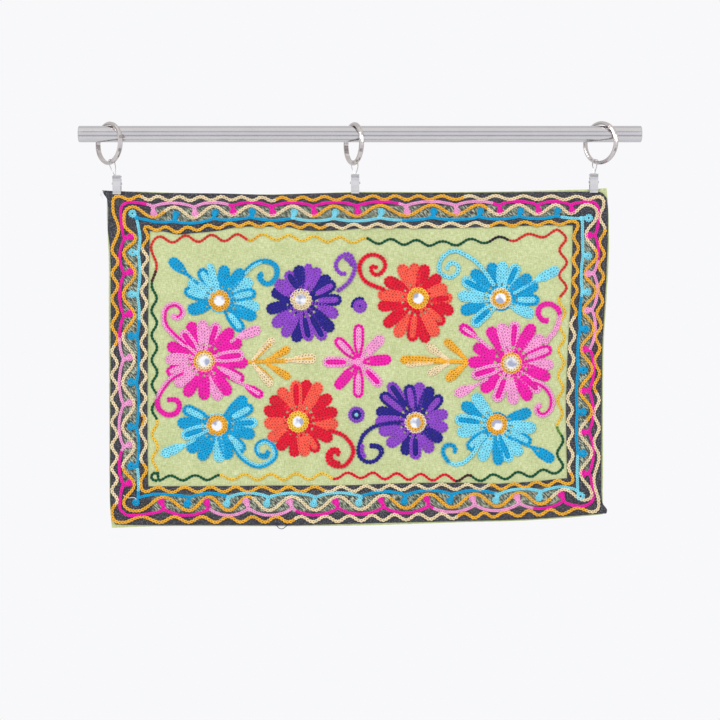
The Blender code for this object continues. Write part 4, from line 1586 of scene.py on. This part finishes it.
# The width of the stitches, by the number of rows
CURL_WIDE = {1: 1.3, 2: 0.85}
for name, dyes, places in CURLS:
    path = smooth_path(places, 120)
    slim = CURL_WIDE[len(dyes)]
    for number, dye in enumerate(dyes):
        shift = ((len(dyes) - 1) / 2.0 - number) * ROW * slim
        sew(kits[name], offset_path(path, shift), dye, lift=CURL_LIFTS, wide=slim)
for name, middle, radius, dye in CURL_ENDS:
    sew(kits[name], ring_path(middle, radius), dye, CURL_END_LIFT, step=SHORT_STITCH)
print("curls:", len(CURLS))

# %% [markdown]
# Buds and sprays
# A bud is a thin stem that swells to a club. The two sprays between the flowers and
# the star are orange and cream, each with a long leaf and two pairs of short ones.

# %% Buds and sprays
STEM_LIFTS = (1.3, 0.15)
BUD_FOOT = 2.3
BUD_SWIFT = 1.8
LEAF_FOOT = 1.9
VEIN_LIFT = 0.9
VEIN_WIDE = 0.5
BUDS = (
    # kit, root, neck, tip, width, stem, outline, heart
    ("blue", (-197, -183), (-212, -170), (-232, -152), 12.6, "blue", "blue", "blue"),
    ("blue", (187, -195), (212, -180), (243, -164), 11.8, "cyan", "cyan", "cyan"),
    ("magenta", (-158, -254), (-149, -248), (-121, -237), 12.5, "pink", "pink", "pink"),
    ("magenta", (-158, -297), (-139, -307), (-118, -320), 11.0, "pink", "magenta", "pink"),
    ("magenta", (160, -262), (141, -247), (121, -233), 12.0, "pink", "magenta", "pink"),
    ("magenta", (156, -298), (138, -308), (115, -318), 12.0, "pink", "pink", "pink"),
    ("blue", (-200, -372), (-213, -379), (-243, -391), 11.6, "cyan", "cyan", "cyan"),
    ("blue", (180, -369), (210, -382), (236, -398), 13.0, "blue", "blue", "blue"),
)
for name, root, neck, tip, wide, stem, outline, heart in BUDS:
    sew(kits[name], np.array((root, neck), dtype=float), stem, lift=STEM_LIFTS)
    club(kits[name], neck, tip, wide, outline, heart, foot=BUD_FOOT, swift=BUD_SWIFT)

SPRAYS = (
    # root, tip, width, outline, heart
    ((-136.2, -278.0), (-86.0, -276.2), 5.0, "orange", "cream"),
    ((-91.0, -276.3), (-52.5, -272.8), 12.4, "cream", "cream"),
    ((-131.0, -276.0), (-104.0, -248.6), 9.4, "cream", "cream"),
    ((-131.0, -279.5), (-106.5, -307.5), 10.0, "cream", "cream"),
    ((-114.0, -276.8), (-84.4, -260.0), 9.0, "orange", "orange"),
    ((-114.0, -279.6), (-84.6, -298.0), 9.4, "orange", "orange"),
    ((132.9, -277.8), (48.6, -275.0), 10.0, "orange", "orange"),
    ((88.4, -279.0), (55.2, -281.6), 6.0, "cream", "cream"),
    ((131.0, -276.0), (102.8, -250.6), 9.4, "orange", "orange"),
    ((130.0, -279.6), (105.0, -300.5), 11.5, "orange", "orange"),
    ((108.5, -276.0), (80.5, -256.6), 9.4, "cream", "cream"),
    ((108.5, -279.4), (81.8, -293.6), 9.4, "cream", "cream"),
)
kits["orange"] = []
for root, tip, wide, outline, heart in SPRAYS:
    club(kits["orange"], root, tip, wide, outline, heart, foot=LEAF_FOOT)
VEINS = (
    ((-92.0, -276.0), (-58.0, -273.2)),
    ((-130.0, -278.0), (-108.5, -255.0)),
    ((-125.0, -281.5), (-106.5, -298.0)),
)
for vein in VEINS:
    sew(kits["orange"], vein, "orange", lift=VEIN_LIFT, wide=VEIN_WIDE)
print("buds:", len(BUDS), "leaves:", len(SPRAYS), "veins:", len(VEINS))

# %% [markdown]
# Mirrors in their rims
# The mirrors aren't pierced. Rounds of chain stitch climb over the edge of the glass
# and hold it. So each round inwards lies higher than the one before, and the last
# one lies on the glass. In the blue flowers another arc closes the open side.

# %% Rims
ARC_RADIUS = 14.2
ARC_WIDE = 0.7
RIM_RADII = (11.6, 8.6)
RIM_LIFTS = (0.7, 1.6)
RIMS = (
    # mirror, dyes of the outer and the inner round
    ((-171.5, -203.0), ("orange", "orange")),
    ((-72.0, -201.7), ("cream", "cream")),
    ((70.8, -200.1), ("yellow", "orange")),
    ((171.4, -200.4), ("cream", "orange")),
    ((-189.7, -277.1), ("orange", "cream")),
    ((184.5, -279.4), ("orange", "cream")),
    ((-174.3, -355.3), ("orange", "orange")),
    ((-75.3, -350.5), ("yellow", "yellow")),
    ((67.5, -351.6), ("cream", "orange")),
    ((167.1, -354.4), ("orange", "orange")),
)
GAP_ARCS = (
    # middle, first angle and turn of the arc, dye
    ((-171.5, -203.0), 215.0, 80.0, "cyan"),
    ((171.4, -200.4), 240.0, 75.0, "blue"),
    ((-174.3, -355.3), 60.0, 85.0, "cyan"),
    ((167.1, -354.4), 40.0, 75.0, "blue"),
)
rims = []
for middle, rounds in RIMS:
    for radius, lift, dye in zip(RIM_RADII, RIM_LIFTS, rounds):
        sew(rims, ring_path(middle, radius), dye, lift)
for middle, first, turn, dye in GAP_ARCS:
    sew(kits["blue"], ring_path(middle, ARC_RADIUS, first, turn), dye, wide=ARC_WIDE)
lay("mirror_rims", rims, link, GROUND_FRONT)

PIECES = {
    "blue": "blue_flowers",
    "indigo": "indigo_flowers",
    "red": "red_flowers",
    "magenta": "pink_flowers",
    "orange": "orange_sprays",
}
for key, name in PIECES.items():
    lay(name, kits[key], link, GROUND_FRONT)

# %% [markdown]
# Loose ends
# Handwork is never quite tidy. A few single threads hang loose: one was drawn out of
# the hem, others were left long where a row ended. They are sewn with the same link,
# made slim.

# %% Loose threads
LOOSE_LIFT = 0.9
LOOSE_STITCH = 2.6
LOOSE = (
    # dye, slimness, places
    ("plum", 0.24, ((-102.5, -475.0), (-99.0, -479.5), (-94.0, -480.6), (-87.0, -475.0))),
    ("white", 0.24, ((-288.0, -439.8), (-281.0, -443.2), (-274.0, -443.0), (-271.0, -446.0))),
    ("white", 0.16, ((-311.5, -69.6), (-315.0, -70.2), (-316.5, -74.5), (-313.0, -78.5))),
    ("white", 0.16, ((-312.5, -71.5), (-314.6, -72.2), (-314.4, -76.0))),
    ("orange", 0.6, ((-266.5, -344.0), (-262.5, -342.5), (-263.5, -350.0), (-265.5, -355.0))),
)
loose = []
for dye, slim, places in LOOSE:
    sew(loose, smooth_path(places, 40), dye, LOOSE_LIFT, slim, LOOSE_STITCH)
lay("loose_threads", loose, link, STRIP_FRONT)

# %% Putting the link away
bpy.data.objects.remove(link)

# %% [markdown]
# Glass and steel
# The mirrors are thin hand-cut glass, a little wavy and dull. The rod is brushed
# along its length, the rings have a fine even grain, and the clips are bright nickel
# that handling has scratched.

# %% Finishes of the hard pieces
def metal(name, tint, rough, streaks, strength, deep):
    """Brushed or scratched metal. streaks scales the noise along each axis, and deep
    is the brightness of the darkest streaks."""
    material, tree, shader = start_finish(name, {"Metallic": 1.0})
    grain = noise(tree, place_of(tree, "Object", streaks), 1.0, 3.0)
    stain = noise(tree, place_of(tree, "Object", (60.0, 60.0, 60.0)), 1.0, 3.0)
    dark = tuple(c * deep for c in tint[:3]) + (1.0,)
    colour = ramp(tree, grain * 0.5 + stain * 0.5, (0.3, dark), (0.7, tint))
    # Both patterns average a half, so 0.13 is what they add to the roughness
    feed(
        tree,
        shader,
        Base_Color=colour,
        Roughness=grain * 0.16 + stain * 0.1 + (rough - 0.13),
        Normal=bump(tree, grain, strength, 0.02 * MM),
    )
    return material


STEEL = metal("brushed_rod", rgb(192, 189, 190), 0.16, (6.0, 5000.0, 5000.0), 0.1, 0.93)
RING_STEEL = metal("brushed_ring", rgb(196, 189, 186), 0.15, (900.0, 900.0, 900.0), 0.15, 0.82)
NICKEL = metal("bright_clip", rgb(206, 205, 204), 0.18, (700.0, 700.0, 200.0), 0.3, 0.82)
glass, tree, shader = start_finish("mirror_glass", {"Metallic": 1.0})
smear = noise(tree, place_of(tree, "Object", (90.0, 90.0, 90.0)), 1.0, 1.5)
ripple = noise(tree, place_of(tree, "Object", (60.0, 60.0, 60.0)), 1.0, 1.0)
colour = ramp(tree, smear, (0.40, rgb(160, 165, 184)), (0.52, rgb(230, 231, 236)))
feed(
    tree,
    shader,
    Base_Color=colour,
    Roughness=smear * 0.2 + 0.06,
    Normal=bump(tree, ripple, 0.6, 0.3 * MM),
)


def finish_of(node):
    """The finish of a CAD node, by its name."""
    if node == "rod":
        return STEEL
    if node.startswith("ring_"):
        return RING_STEEL
    return glass if node.startswith("mirror_") else NICKEL


HARD = ("rod", "ring_", "hook_", "clip_", "pin_", "spring_", "mirror_")
for node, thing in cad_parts.items():
    if node.startswith(HARD):
        for place in thing.material_slots:
            place.material = finish_of(node)
print("hard pieces finished")
